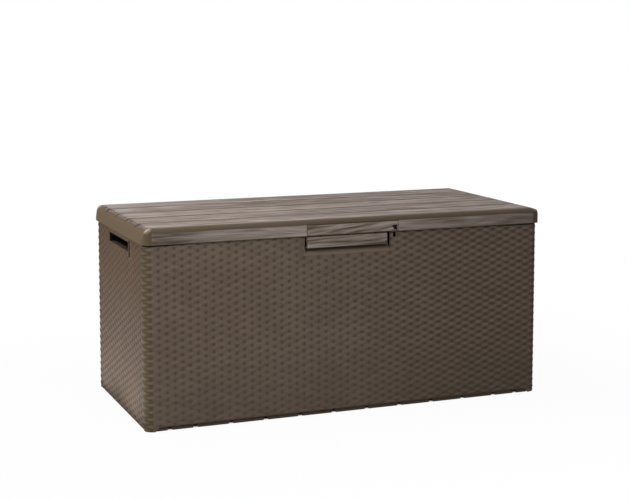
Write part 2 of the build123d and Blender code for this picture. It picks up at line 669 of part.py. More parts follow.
NODES = {
    "front_wall": front_wall(),
    "back_wall": back_wall(),
    "left_end_wall": end_wall(-1),
    "right_end_wall": end_wall(1),
    "left_hand_cup": hand_cup(-1),
    "right_hand_cup": hand_cup(1),
    "corner_post_front_left": corner_post(-1, -1),
    "corner_post_front_right": corner_post(1, -1),
    "corner_post_back_left": corner_post(-1, 1),
    "corner_post_back_right": corner_post(1, 1),
    "floor_half_left": floor_half(-1),
    "floor_half_right": floor_half(1),
    "floor_splice": floor_splice(),
    "splice_screws": group(SPLICE_SCREWS, SCREW_R, SPLICE_SCREW_LENGTH, SCREW_HEAD),
    "wall_rivets": group(RIVETS, RIVET_R, RIVET_LENGTH, RIVET_HEAD),
    "latch_pocket": latch_pocket(),
    "hinge_bracket_left": hinge_bracket(-1),
    "hinge_bracket_right": hinge_bracket(1),
    "hinge_pin_left": hinge_pin(-1),
    "hinge_pin_right": hinge_pin(1),
    "hinge_bolts": group(HINGE_BOLTS, BOLT_R, HINGE_BOLT_LENGTH, BOLT_HEAD),
    "hinge_nuts": hinge_nuts(),
    "lid_shell": lid_shell(),
    "lid_liner": lid_liner(),
    "lid_bumpers": lid_bumpers(),
    "hinge_knuckle_left": hinge_knuckle(-1),
    "hinge_knuckle_right": hinge_knuckle(1),
    "lid_hinge_screws": group(LID_SCREWS, SCREW_R, LID_SCREW_LENGTH, SCREW_HEAD),
    "latch_plate": latch_plate(),
    "latch_plate_screws": group(PLATE_SCREWS, SCREW_R, PLATE_SCREW_LENGTH, SCREW_HEAD),
    "flap_pin": flap_pin(),
    "latch_flap": latch_flap(),
}

os.makedirs("parts", exist_ok=True)
for name, made in NODES.items():
    solids = made if isinstance(made, list) else [made]
    shape = Compound(children=solids) if len(solids) > 1 else solids[0]
    shape.label = name
    export_step(shape, f"parts/{name}.step")
    print(name, len(shape.solids()), round(shape.volume))
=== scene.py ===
# %% [markdown]
# # A deck storage box
# A garden box of moulded polypropylene: wicker-like walls, a lid that looks like five boards, a pull flap
# in front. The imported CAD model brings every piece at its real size, so this script only adds what the
# mould adds to the surface: the woven relief of the walls, the wood grain of the lid, and the finishes.

# %% Load the frame
import math
import bpy
import bmesh
import numpy as np
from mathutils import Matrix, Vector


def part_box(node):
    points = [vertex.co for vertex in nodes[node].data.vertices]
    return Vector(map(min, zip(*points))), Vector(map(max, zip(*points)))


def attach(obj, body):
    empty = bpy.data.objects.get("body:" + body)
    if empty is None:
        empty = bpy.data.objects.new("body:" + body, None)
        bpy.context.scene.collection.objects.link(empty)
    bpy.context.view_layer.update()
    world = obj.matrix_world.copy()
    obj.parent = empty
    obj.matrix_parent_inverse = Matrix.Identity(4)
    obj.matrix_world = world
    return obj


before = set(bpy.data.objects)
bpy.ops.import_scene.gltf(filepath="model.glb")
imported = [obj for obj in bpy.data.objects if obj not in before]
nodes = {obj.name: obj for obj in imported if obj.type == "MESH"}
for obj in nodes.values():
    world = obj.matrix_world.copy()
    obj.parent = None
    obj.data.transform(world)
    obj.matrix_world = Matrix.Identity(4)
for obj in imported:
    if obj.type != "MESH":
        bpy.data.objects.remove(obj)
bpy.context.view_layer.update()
MM = 0.001
X, Y, Z = range(3)

# %% [markdown]
# ## Colours and nodes
# Colours are picked as sRGB hex values, the way a paint card gives them, but Blender's shaders count in
# linear light. One function turns the first into the second. Another small one adds a shader node, sets it
# up and links it, so that each material below reads from top to bottom. A Mix node keeps its sockets for
# numbers, vectors and colours side by side, so the ones for colours are named here by their places.

# %% Helpers for materials
SHARE = 0
FIRST = 6
SECOND = 7


def linear(hex_colour):
    """An sRGB hex colour as linear red, green, blue and alpha, by the standard's own curve."""
    channels = [int(hex_colour[i:i + 2], 16) / 255 for i in (1, 3, 5)]
    return [c / 12.92 if c <= 0.04045 else ((c + 0.055) / 1.055) ** 2.4 for c in channels] + [1.0]


def link(tree, node, inputs):
    """Sets a node's inputs: each to a value, an output socket, or a node's first output that is in use."""
    for socket, value in inputs.items():
        if isinstance(value, bpy.types.Node):
            value = next(output for output in value.outputs if output.enabled)
        if isinstance(value, bpy.types.NodeSocket):
            tree.links.new(value, node.inputs[socket])
        else:
            node.inputs[socket].default_value = value


def add(tree, kind, inputs=None, **settings):
    """Adds a shader node with its settings and links."""
    made = tree.nodes.new("ShaderNode" + kind)
    for name, value in settings.items():
        setattr(made, name, value)
    link(tree, made, inputs or {})
    return made


def new_material(name, constants):
    """A material with its main shader, whose constant sockets are set here."""
    material = bpy.data.materials.new(name)
    material.use_nodes = True
    shader = material.node_tree.nodes["Principled BSDF"]
    link(material.node_tree, shader, constants)
    return material, material.node_tree, shader


print("colour check:", [round(c, 3) for c in linear("#808080")[:3]])

# %% [markdown]
# ## Moulded polypropylene, smooth
# The lid's edge, the hand holes, the pocket and everything inside is plain polypropylene, coloured in the
# mass. The steel mould is spark eroded, which leaves a fine matt grain, and the melt cools unevenly, so the
# tone drifts a little over a hand's width. A painted picture could show both, but two noises give them on
# any piece without one. Polypropylene has an index of refraction of 1.49. The real grain is finer than a
# millimetre, too fine for the photograph's distance, so it is drawn at 1.6 mm.

# %% Smooth moulded polypropylene
PLASTIC = {"IOR": 1.49, "Specular IOR Level": 0.09}
BROWN = ("#4C4133", "#54493B")
INSIDE_BROWN = ("#4A4036", "#52473C")
FLOOR_BROWN = ("#4A4038", "#52473E")
SPARK_GRAIN = 1.6 * MM
SPARK_STRENGTH = 0.12
GRAIN_DEPTH = 0.3 * MM
TONE_DRIFT = 140 * MM
DRIFT_SPAN = (0.3, 0.7)
MATT = (0.54, 0.68)
INSIDE_MATT = (0.49, 0.63)


def surfaced(tree, shader, colour, grain, matt, strength, depth):
    """Gives a shader its colour, and a grain that roughens it and varies how matt it is."""
    rough = add(tree, "MapRange", {"Value": grain, "To Min": matt[0], "To Max": matt[1]})
    bump = add(tree, "Bump", {"Height": grain, "Strength": strength, "Distance": depth})
    link(tree, shader, {"Base Color": colour, "Roughness": rough, "Normal": bump})


def moulded_polypropylene(name, colours, matt=MATT):
    material, tree, shader = new_material(name, PLASTIC)
    dark, light = [linear(colour) for colour in colours]
    place = add(tree, "TexCoord").outputs["Object"]
    drift = add(tree, "TexNoise", {"Vector": place, "Scale": 1 / TONE_DRIFT, "Detail": 3.0})
    grain = add(tree, "TexNoise", {"Vector": place, "Scale": 1 / SPARK_GRAIN, "Detail": 2.0})
    tone = add(tree, "MapRange", {"Value": drift, "From Min": DRIFT_SPAN[0], "From Max": DRIFT_SPAN[1]})
    colour = add(tree, "Mix", {SHARE: tone, FIRST: dark, SECOND: light}, data_type="RGBA")
    surfaced(tree, shader, colour, grain, matt, SPARK_STRENGTH, GRAIN_DEPTH)
    return material


brown_plastic = moulded_polypropylene("polypropylene_brown_moulded", BROWN)
inner_plastic = moulded_polypropylene("polypropylene_brown_inside", INSIDE_BROWN, INSIDE_MATT)
floor_plastic = moulded_polypropylene("polypropylene_dark_floor", FLOOR_BROWN)
print("smooth plastics:", brown_plastic.name, inner_plastic.name, floor_plastic.name)

# %% [markdown]
# ## Painted shade and light on the smooth plastic
# The same plastic doesn't look the same everywhere under the lamps: hollows and gaps lie in shade, a shaded
# ledge and the feet look paler, the lid's ends look lighter, and its corners catch a highlight. This light
# and shade is painted into the colour. Each such face could have a material of its own, but the CAD pieces
# keep the faces they have. So the material itself asks where a point lies and which way it faces, and mixes
# in another colour there.

# %% Helpers for places on a piece
SHADE = "#0C0A08"


def recoloured(material, share, colour):
    """Mixes a colour into a material's own, by a share that another node gives."""
    tree = material.node_tree
    shader = tree.nodes["Principled BSDF"]
    own = shader.inputs["Base Color"].links[0].from_socket
    mixed = add(tree, "Mix", {SHARE: share, FIRST: own, SECOND: linear(colour)}, data_type="RGBA")
    link(tree, shader, {"Base Color": mixed})


def place_and_facing(tree):
    """Where a point lies on the piece, and which way it faces there."""
    coordinates = add(tree, "TexCoord")
    place = add(tree, "SeparateXYZ", {0: coordinates.outputs["Object"]})
    facing = add(tree, "SeparateXYZ", {0: coordinates.outputs["Normal"]})
    return place.outputs, facing.outputs


def within(tree, value, low, high):
    """1 between two values and 0 outside them."""
    above = add(tree, "Math", {0: value, 1: low}, operation="GREATER_THAN")
    below = add(tree, "Math", {0: value, 1: high}, operation="LESS_THAN")
    return add(tree, "Math", {0: above, 1: below}, operation="MULTIPLY")


print("shade of hollows:", SHADE)

# %% Hand cups, with painted shade inside and in the slot beside them
CUP_MOUTH = 585.5 * MM
CUP_BACK = 538 * MM
CUP_TOP = 497 * MM
CUP_RIM = 3 * MM
CUP_SLOT = (-101 * MM, -97 * MM)
# The front of the cup's floor, this far in, faces the light and gets no painted shade.
LIT_FLOOR_DEPTH = 16 * MM
HAND_HOLE_Y = (-92 * MM, 122 * MM)
HAND_HOLE_Z = (456.5 * MM, 485 * MM)
FACES_UP = 0.5


def cup_polypropylene():
    """Painted shade inside the cup and in the slot beside it, but none at the front of the cup's floor."""
    material = moulded_polypropylene("polypropylene_brown_cup", BROWN)
    tree = material.node_tree
    place, facing = place_and_facing(tree)
    out = add(tree, "Math", {0: place["X"]}, operation="ABSOLUTE")
    inside = add(tree, "MapRange", {"Value": out, "From Min": CUP_MOUTH, "From Max": CUP_MOUTH - CUP_RIM})
    past_lit_floor = add(
        tree, "MapRange",
        {"Value": out, "From Min": CUP_MOUTH - LIT_FLOOR_DEPTH, "From Max": CUP_MOUTH - CUP_RIM - LIT_FLOOR_DEPTH},
    )
    level = add(tree, "Math", {0: facing["Z"], 1: FACES_UP}, operation="GREATER_THAN")
    dark = add(tree, "Mix", {"Factor": level, "A": inside, "B": past_lit_floor})
    room = (
        within(tree, out, CUP_BACK, CUP_MOUTH),
        within(tree, place["Y"], *HAND_HOLE_Y),
        within(tree, place["Z"], HAND_HOLE_Z[0], CUP_TOP),
    )
    for span in room:
        dark = add(tree, "Math", {0: dark, 1: span}, operation="MULTIPLY")
    # Painted shade in the cup past its rim, and a dark strip beside the cup as the slot's painted shade.
    recoloured(material, dark, SHADE)
    recoloured(material, within(tree, place["Y"], *CUP_SLOT), SHADE)
    return material


cup_plastic = cup_polypropylene()
print("hand cups:", cup_plastic.name)

# %% Latch pocket, painted paler as light on its ledge, with painted shade at the back and sides
pocket_low, pocket_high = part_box("latch_pocket")
# The pocket is painted paler than the walls, as painted light on its ledge, which lies in shade.
POCKET_PAINTED_LIGHT = ("#6A5C4E", "#726557")
POCKET_DEPTH = (pocket_low.y + 1 * MM, pocket_high.y - 1.5 * MM)
FACES_FRONT = -0.9
FACES_MIDDLE = -0.05


def pocket_polypropylene():
    """Painted paler all over as light on the shaded ledge, with painted shade on the back and the sides."""
    material = moulded_polypropylene("polypropylene_brown_pocket", POCKET_PAINTED_LIGHT)
    tree = material.node_tree
    place, facing = place_and_facing(tree)
    front = add(tree, "Math", {0: facing["Y"], 1: FACES_FRONT}, operation="LESS_THAN")
    deep = within(tree, place["Y"], *POCKET_DEPTH)
    back = add(tree, "Math", {0: front, 1: deep}, operation="MULTIPLY")
    turned = add(tree, "Math", {0: place["X"], 1: facing["X"]}, operation="MULTIPLY")
    side = add(tree, "Math", {0: turned, 1: FACES_MIDDLE}, operation="LESS_THAN")
    # Painted shade on the pocket's back and sides.
    recoloured(material, add(tree, "Math", {0: back, 1: side}, operation="MAXIMUM"), SHADE)
    return material


pocket_plastic = pocket_polypropylene()
print("latch pocket:", pocket_plastic.name)

# %% Walls, with painted light on the feet and painted shade in the gap under the lid
lid_low, lid_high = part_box("lid_shell")
# Painted shade lies in this band under the lid.
PAINTED_GAP_SHADE_Z = (lid_low.z - 5.5 * MM, lid_low.z + 0.5 * MM)
GAP_SOFT = 0.5 * MM
LOWER_EDGE = 10.2 * MM
# The feet below the weave are painted paler, as painted light against the weave's shadow on them.
LOWER_EDGE_PAINTED_LIGHT = "#7A6B59"


def wall_polypropylene():
    """Painted light along the lower edge, where the feet lie in the weave's shadow, and painted shade in the
    gap under the lid.
    """
    material = moulded_polypropylene("polypropylene_brown_wall", BROWN)
    tree = material.node_tree
    place = place_and_facing(tree)[0]
    # Painted light on the feet.
    low = add(tree, "Math", {0: place["Z"], 1: LOWER_EDGE}, operation="LESS_THAN")
    recoloured(material, low, LOWER_EDGE_PAINTED_LIGHT)
    # Painted shade in the gap between the wall's top and the lid's skirt.
    above = add(
        tree, "MapRange",
        {"Value": place["Z"], "From Min": PAINTED_GAP_SHADE_Z[0], "From Max": PAINTED_GAP_SHADE_Z[0] + GAP_SOFT},
    )
    below = add(
        tree, "MapRange",
        {"Value": place["Z"], "From Min": PAINTED_GAP_SHADE_Z[1] + GAP_SOFT, "From Max": PAINTED_GAP_SHADE_Z[1]},
    )
    recoloured(material, add(tree, "Math", {0: above, 1: below}, operation="MULTIPLY"), SHADE)
    return material


wall_plastic = wall_polypropylene()
print("walls:", wall_plastic.name)

# %% Lid, with painted light on its ends, painted highlights on its corners, painted shade in its grooves
# Painted light on the end faces, a painted highlight on the upper corners, painted shade in the grooves.
LID_END_PAINTED_LIGHT = "#604F3B"
CORNER_PAINTED_HIGHLIGHT = "#A39286"
GROOVE_PAINTED_SHADE = "#1E1914"
END_FACING = (0.5, 0.9)
LID_CORNER = (lid_high.x - 15 * MM, lid_high.y - 11 * MM, lid_high.z - 4 * MM)
CORNER_HIGHLIGHT_REACH = (5 * MM, 13 * MM)
GROOVE_TOP = lid_high.z - 1 * MM
GROOVES_Y = 200 * MM
GROOVE_FLOOR_FACING = 0.97
GROOVE_SIDE_FACING = 0.5


def lid_polypropylene():
    """Painted light on its ends, a painted highlight at its four upper corners, painted shade in the grooves
    between the boards.
    """
    material = moulded_polypropylene("polypropylene_brown_lid", BROWN)
    tree = material.node_tree
    place, facing = place_and_facing(tree)
    # Painted light: a lighter, warmer brown on the faces that look along the box.
    endways = add(tree, "Math", {0: facing["X"]}, operation="ABSOLUTE")
    end = add(tree, "MapRange", {"Value": endways, "From Min": END_FACING[0], "From Max": END_FACING[1]})
    recoloured(material, end, LID_END_PAINTED_LIGHT)
    # Painted highlight: a pale patch near each upper corner, where the rounding catches the light.
    folded = add(tree, "VectorMath", {0: add(tree, "TexCoord").outputs["Object"]}, operation="ABSOLUTE")
    away = add(tree, "VectorMath", {0: folded, 1: LID_CORNER}, operation="DISTANCE")
    corner_highlight = add(tree, "MapRange", {"Value": away, "From Min": CORNER_HIGHLIGHT_REACH[1], "From Max": CORNER_HIGHLIGHT_REACH[0]})
    recoloured(material, corner_highlight, CORNER_PAINTED_HIGHLIGHT)
    # Painted shade on the groove floors.
    level = add(tree, "Math", {0: facing["Z"], 1: GROOVE_FLOOR_FACING}, operation="GREATER_THAN")
    sunk = add(tree, "Math", {0: place["Z"], 1: GROOVE_TOP}, operation="LESS_THAN")
    recoloured(material, add(tree, "Math", {0: level, 1: sunk}, operation="MULTIPLY"), GROOVE_PAINTED_SHADE)
    # Painted shade on the groove sides.
    sideways = add(tree, "Math", {0: facing["Y"]}, operation="ABSOLUTE")
    upright = add(tree, "Math", {0: sideways, 1: GROOVE_SIDE_FACING}, operation="GREATER_THAN")
    between = within(tree, place["Y"], -GROOVES_Y, GROOVES_Y)
    recoloured(material, add(tree, "Math", {0: upright, 1: between}, operation="MULTIPLY"), GROOVE_PAINTED_SHADE)
    return material


lid_plastic = lid_polypropylene()
print("lid:", lid_plastic.name)

# %% [markdown]
# ## Moulded polypropylene, wicker relief
# The walls are the same plastic with a woven relief, and shade is painted into its dips. A picture of wicker
# could be laid on, but it would not follow the relief. So the mesh carries four numbers for every point: how
# much painted shade it gets, in the dips, between the swellings, round the corner ridges and towards the
# bottom; a small tone of its own for each swelling, because a mould polishes unevenly, with painted light on
# the swellings and painted shade between them where they grow; whether it lies round a corner, where the
# brown is greener; and how strongly a darker, warmer brown is painted towards the top of the ends, as painted
# shade.
# The grain is drawn at 2.2 mm, coarser than the real one, so that it shows.

# %% Wicker polypropylene
WICKER_CREST = ("#56493F", "#695C51")
# Painted shade towards the top of the ends, in a darker, warmer brown.
WICKER_PAINTED_TOP_SHADE = "#614B38"
WICKER_CORNER = "#645846"
# Painted shade in the hollows of the weave.
WICKER_PAINTED_SHADE = "#352E27"
WICKER_GRAIN = 2.2 * MM
WICKER_STRENGTH = 0.15
WICKER_MATT = (0.62, 0.78)
DRIFT_SHARE = 0.5
CREST_SPAN = (0.0, 0.9)
PAINTED_SHADE_SPAN = (0.05, 1.5)


def wicker_polypropylene():
    material, tree, shader = new_material("polypropylene_wicker_moulded", PLASTIC)
    place = add(tree, "TexCoord").outputs["Object"]
    painted_shade, tone, corner, painted_top_shade = [
        add(tree, "Attribute", attribute_name=label).outputs["Fac"]
        for label in ("painted_shade", "tone", "corner", "painted_top_shade")
    ]
    dark, light = [linear(colour) for colour in WICKER_CREST]
    drift = add(tree, "TexNoise", {"Vector": place, "Scale": 1 / TONE_DRIFT, "Detail": 3.0})
    grain = add(tree, "TexNoise", {"Vector": place, "Scale": 1 / WICKER_GRAIN, "Detail": 2.0})
    mixed = add(tree, "Math", {0: drift, 1: DRIFT_SHARE, 2: tone}, operation="MULTIPLY_ADD")
    pale = add(tree, "MapRange", {"Value": mixed, "From Min": CREST_SPAN[0], "From Max": CREST_SPAN[1]})
    deep = add(tree, "MapRange", {"Value": painted_shade, "From Min": PAINTED_SHADE_SPAN[0], "From Max": PAINTED_SHADE_SPAN[1]})
    colour = add(tree, "Mix", {SHARE: pale, FIRST: dark, SECOND: light}, data_type="RGBA")
    # Mixes in a darker, warmer brown towards the top of the ends and a dark brown in the hollows, both
    # painted shade.
    for share, other in ((painted_top_shade, WICKER_PAINTED_TOP_SHADE), (corner, WICKER_CORNER), (deep, WICKER_PAINTED_SHADE)):
        colour = add(tree, "Mix", {SHARE: share, FIRST: colour, SECOND: linear(other)}, data_type="RGBA")
    surfaced(tree, shader, colour, grain, WICKER_MATT, WICKER_STRENGTH, GRAIN_DEPTH)
    return material


wicker_plastic = wicker_polypropylene()
print("wicker plastic:", len(wicker_plastic.node_tree.nodes), "nodes")

# %% [markdown]
# ## Moulded polypropylene, wood grain wiped pale
# The boards of the lid are brown plastic with a carved wood grain. A pale coat is wiped over them, which
# stays on the raised grain and leaves the furrows brown. A picture of wood could be laid on, but here the
# mesh says how much coat a point holds, so that colour and relief agree, and a noise stretched along the
# board adds the finer lines, about 2 mm wide and 90 mm long.

# %% Wood-grain polypropylene
BOARD_BROWN = "#483D32"
BOARD_COAT = "#A1948D"
FINE_LINE_WIDTH = 2.0 * MM
FINE_LINE_LENGTH = 90 * MM
FINE_LINE_SHARE = 0.9
FINE_LINE_STRENGTH = 0.25
FINE_LINE_DEPTH = 0.4 * MM
BOARD_MATT = (0.6, 0.75)


def wood_grain_polypropylene():
    material, tree, shader = new_material("polypropylene_wood_grain_wiped", PLASTIC)
    place = add(tree, "TexCoord").outputs["Object"]
    coat = add(tree, "Attribute", attribute_name="coat").outputs["Fac"]
    stretch = (1 / FINE_LINE_LENGTH, 1 / FINE_LINE_WIDTH, 1 / FINE_LINE_WIDTH)
    along = add(tree, "Mapping", {"Vector": place, "Scale": stretch})
    lines = add(tree, "TexNoise", {"Vector": along, "Scale": 1.0, "Detail": 3.0})
    centred = add(tree, "Math", {0: lines, 1: 0.5}, operation="SUBTRACT")
    pale = add(
        tree, "Math", {0: centred, 1: FINE_LINE_SHARE, 2: coat}, operation="MULTIPLY_ADD", use_clamp=True
    )
    colour = add(
        tree, "Mix", {SHARE: pale, FIRST: linear(BOARD_BROWN), SECOND: linear(BOARD_COAT)},
        data_type="RGBA",
    )
    surfaced(tree, shader, colour, lines, BOARD_MATT, FINE_LINE_STRENGTH, FINE_LINE_DEPTH)
    return material


board_plastic = wood_grain_polypropylene()
print("wood-grain plastic:", len(board_plastic.node_tree.nodes), "nodes")

# %% [markdown]
# ## Zinc-plated steel and rubber
# Pins, bolts, nuts and screws are steel with a thin zinc coat, which is bright but cloudy in patches of a
# few millimetres. The lid's bumpers are black moulded rubber, dull and slightly dusty. Both need only one
# noise that varies colour and gloss together, so one function makes both.

# %% Steel and rubber
ZINC = ("#8E9196", "#C3C5C8")
ZINC_CLOUD = 4 * MM
ZINC_DULL = (0.25, 0.5)
RUBBER = ("#161514", "#2B2928")
RUBBER_GRAIN = 1.2 * MM
RUBBER_DULL = (0.7, 0.9)


def clouded(name, constants, colours, patch, detail, dull):
    """A finish whose colour and gloss vary in patches of a size."""
    material, tree, shader = new_material(name, constants)
    dark, light = [linear(colour) for colour in colours]
    place = add(tree, "TexCoord").outputs["Object"]
    cloud = add(tree, "TexNoise", {"Vector": place, "Scale": 1 / patch, "Detail": detail})
    colour = add(tree, "Mix", {SHARE: cloud, FIRST: dark, SECOND: light}, data_type="RGBA")
    rough = add(tree, "MapRange", {"Value": cloud, "To Min": dull[0], "To Max": dull[1]})
    link(tree, shader, {"Base Color": colour, "Roughness": rough})
    return material


zinc_steel = clouded("steel_zinc_plated", {"Metallic": 1.0}, ZINC, ZINC_CLOUD, 4.0, ZINC_DULL)
black_rubber = clouded("rubber_black_moulded", {"IOR": 1.52}, RUBBER, RUBBER_GRAIN, 3.0, RUBBER_DULL)
print("metal and rubber:", zinc_steel.name, black_rubber.name)

# %% [markdown]
# ## A thin skin that is closed
# Relief could be a bump or a displacement in the material, but then the mesh stays flat and the outline
# too. So each relief is real geometry: a thin skin laid on the CAD wall. Its front is a fine grid, and its
# back, which nobody sees, is one polygon for each column of the grid, sunk a little into the wall. Cells
# can be left out where the wall has a window, and the skin closes itself around them.

# %% Faces of a closed skin
def column_runs(column):
    """Start and end of each stretch of True in a column of cells."""
    edges = np.flatnonzero(np.diff(np.concatenate(([0], column.astype(int), [0]))))
    return list(zip(edges[0::2], edges[1::2]))


def skin_faces(keep):
    """Faces of a closed skin, as grid places: (layer, row, column) with layer 0 in front and 1 behind."""
    columns = keep.shape[1]
    padded = np.pad(keep, 1)
    left = padded[:, :-1]
    right = padded[:, 1:]
    turns = (left[:-1] != left[1:]) | (right[:-1] != right[1:])
    faces = []
    for i in range(columns):
        for j in np.flatnonzero(keep[:, i]):
            faces.append([(0, j, i), (0, j, i + 1), (0, j + 1, i + 1), (0, j + 1, i)])
        for low, high in column_runs(keep[:, i]):
            up = [(1, j, i) for j in range(low, high + 1) if turns[j, i]]
            down = [(1, j, i + 1) for j in range(high, low - 1, -1) if turns[j, i + 1]]
            faces.append(up + down)
            faces.append([(0, low, i + 1), (0, low, i), (1, low, i), (1, low, i + 1)])
            faces.append([(0, high, i), (0, high, i + 1), (1, high, i + 1), (1, high, i)])
    for i in range(columns + 1):
        on_left = padded[1:-1, i]
        on_right = padded[1:-1, i + 1]
        for low, high in column_runs(on_left & ~on_right):
            front = [(0, j, i) for j in range(high, low - 1, -1)]
            faces.append(front + [(1, j, i) for j in range(low, high + 1) if turns[j, i]])
        for low, high in column_runs(on_right & ~on_left):
            front = [(0, j, i) for j in range(low, high + 1)]
            faces.append(front + [(1, j, i) for j in range(high, low - 1, -1) if turns[j, i]])
    return faces


print("a skin of one cell has", len(skin_faces(np.ones((1, 1), bool))), "faces")

# %% Lay a closed skin
SUNK = 0.3 * MM
MERGE = 0.001 * MM
CREASE_ANGLE = math.radians(55)


def closed_skin(name, surface, outward, height, keep, attributes, material, body):
    """Lays a closed skin of the given height on a surface and hands it to the body it rides on."""
    layers = np.stack([surface + outward * height[..., None], surface - outward * SUNK])
    numbers = {}
    faces = [[numbers.setdefault(p, len(numbers)) for p in face] for face in skin_faces(keep)]
    places = np.array(list(numbers))
    points = layers[places[:, 0], places[:, 1], places[:, 2]]
    mesh = bpy.data.meshes.new(name)
    mesh.from_pydata(points.tolist(), [], faces)
    for label, values in attributes.items():
        layer = mesh.attributes.new(label, "FLOAT", "POINT")
        layer.data.foreach_set("value", values[places[:, 1], places[:, 2]].astype(np.float32))
    joined = bmesh.new()
    joined.from_mesh(mesh)
    bmesh.ops.remove_doubles(joined, verts=joined.verts, dist=MERGE)
    joined.to_mesh(mesh)
    joined.free()
    mesh.shade_smooth()
    mesh.set_sharp_from_angle(angle=CREASE_ANGLE)
    mesh.materials.append(material)
    piece = bpy.data.objects.new(name, mesh)
    bpy.context.scene.collection.objects.link(piece)
    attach(piece, body)
    print(name, len(mesh.vertices), "points", len(mesh.polygons), "faces")


print("skins are sunk by", SUNK / MM, "mm")

# %% [markdown]
# ## The weave
# A plain weave: stakes stand 21.5 mm apart and strands lie 10 mm apart. A strand goes over one stake and
# under the next, and its neighbours do the opposite. Strands could be bent and woven one by one, but the
# wall is one moulding whose strands lie nearly flush, so one surface of dips and swellings gives it better.
# At the left of a long wall the eye sees a round dip at every second crossing. To its right, and on the
# ends, the swellings grow and the dips give way to them. Towards the bottom of a long wall the relief is
# cut flatter. A fine crease runs along each strand, and round the corners the strands stand out as ridges.
# The grid's rows follow the strands, which spread where they come over.

# %% Lines between the strands
STAKE = 21.55 * MM
STRAND = 9.86 * MM
STRANDS = 51
SQUEEZE = 0.9 * MM
WINDOW_BLEND = 14 * MM
FIRST_STRAND_LOST = 0.9 * STRAND


def smooth_step(t):
    """0 up to 0 and 1 from 1 on, with a soft curve between."""
    t = np.clip(t, 0, 1)
    return t * t * (3 - 2 * t)


def strand_edges(stakes, along, bottom, top, windows):
    """Heights of the lines between strands: wavy, but straight where a window or the bottom cuts them."""
    rank = np.arange(STRANDS + 1)[:, None]
    lines = rank * STRAND + SQUEEZE * np.cos(math.pi * (stakes + rank - 1))
    lines[-1] = top
    for start, end, low, high in windows:
        outside = np.maximum(np.maximum(start - along, along - end), 0)
        near = 1 - smooth_step(outside / WINDOW_BLEND)
        for z in (low, high):
            nearest = min(round(z / STRAND), STRANDS)
            if nearest < STRANDS:
                lines[nearest] += (z - lines[nearest]) * near
    lines[0] = bottom
    lines[1] = np.where(bottom >= FIRST_STRAND_LOST, bottom, np.maximum(lines[1], bottom))
    return lines


print("weave:", STRANDS, "strands of", STRAND / MM, "mm")

# %% Dips, swellings and ridges
STEPS_PER_STRAND = 4
RELIEF = 3.4 * MM
LEAST_RELIEF = 0.02
DIP = 0.22
DIP_WIDE = 4.0 * MM
DIP_TALL = 5.8 * MM
DIP_LOSS = 0.6
SWELLING = 0.46
SWELLING_GROWTH = (0.5, 0.9)
CREASE = 0.06
CREASE_WIDE = 0.01
RIDGE_OVER = (0.6, 0.4)
RIDGE_FLANK = 2.2
RIDGE_ROUND = 0.7
RIDGE_HEIGHT = (0.45, 0.4)
LOW_STRANDS = 26


def grown(start, growth, share):
    return start + growth * share


def strand_places():
    """For each row of the grid, the strand it lies on and how far across that strand it is."""
    step = np.arange(STRANDS * STEPS_PER_STRAND + 1)
    strand = np.minimum(step // STEPS_PER_STRAND, STRANDS - 1)[:, None]
    return strand, step[:, None] / STEPS_PER_STRAND - strand


def dips(stakes, strand, across):
    """1 in the middle of each round dip, where a strand goes under a stake, and 0 away from it."""
    dip = 0
    for neighbour in (-1, 0, 1):
        beside = STAKE * (np.mod(stakes + strand + neighbour, 2) - 1)
        above = STRAND * (across - 0.5 - neighbour)
        dip = dip + np.exp(-(beside / DIP_WIDE) ** 2 - (above / DIP_TALL) ** 2)
    return np.clip(dip, 0, 1)


def ridges(stakes, strand, across):
    """Strands as round ridges, higher where they come over a stake."""
    over = grown(*RIDGE_OVER, np.cos(math.pi * (stakes + strand)))
    return over * (1 - np.abs(2 * across - 1) ** RIDGE_FLANK) ** RIDGE_ROUND


print("relief of up to", RELIEF / MM, "mm")

# %% Height and colour over the weave
TONES = (0.15, 0.5)
TONE_COUNT = 64
# Painted light and shade on the swellings, carried in the tone.
SWELLING_LIGHT_AND_SHADE = 0.4
SWELLING_LIGHT_GROWTH = (0.6, 0.6)
# Painted shade on the swellings' low sides, in the corner crevices and along the low strands.
SWELLING_SHADE = 0.4
RIDGE_SHADE = 1.15
LOW_SHADE = (0.4, 0.35)
WEAVE_SEED = 11


def weave_heights(stakes, corner, rise, low_cut):
    """Height of the relief, how much painted shade each point gets, and its tone, which holds painted light
    on the swellings.

    With the rise the swellings grow and the round dips give way to them. The low cut is the share of the
    relief that is left at the bottom.
    """
    strand, across = strand_places()
    swelling = np.cos(math.pi * stakes) * np.cos(math.pi * (strand + across - 0.5))
    cut = low_cut + (1 - low_cut) * smooth_step(strand / LOW_STRANDS)
    dip = dips(stakes, strand, across) * (1 - DIP_LOSS * rise) * cut
    crease = CREASE * (np.minimum(across, 1 - across) < CREASE_WIDE)
    flush = 1 - SWELLING * grown(*SWELLING_GROWTH, rise) * cut * (1 - swelling) - DIP * dip - crease
    flush = np.maximum(flush, LEAST_RELIEF)
    ridge = ridges(stakes, strand, across)
    height = RELIEF * (flush + (grown(*RIDGE_HEIGHT, ridge) - flush) * corner)
    # Painted shade: in the dips, on the swellings' low sides, along the low strands and between the corner
    # ridges.
    low_shade = grown(*LOW_SHADE, rise) * (1 - cut)
    painted_shade = dip + SWELLING_SHADE * rise * cut * (1 - swelling) + low_shade
    painted_shade = painted_shade * (1 - corner) + RIDGE_SHADE * (1 - ridge) * corner
    tones = np.random.default_rng(WEAVE_SEED).uniform(*TONES, (STRANDS, TONE_COUNT))
    number = np.floor((stakes + strand + 1) / 2).astype(int)
    own = tones[strand, number % TONE_COUNT]
    # Beyond its own tone, each swelling gets painted light on its crest and painted shade on its low side.
    tone = np.clip(own + SWELLING_LIGHT_AND_SHADE * grown(*SWELLING_LIGHT_GROWTH, rise) * cut * swelling, 0, 1)
    return height, painted_shade, tone


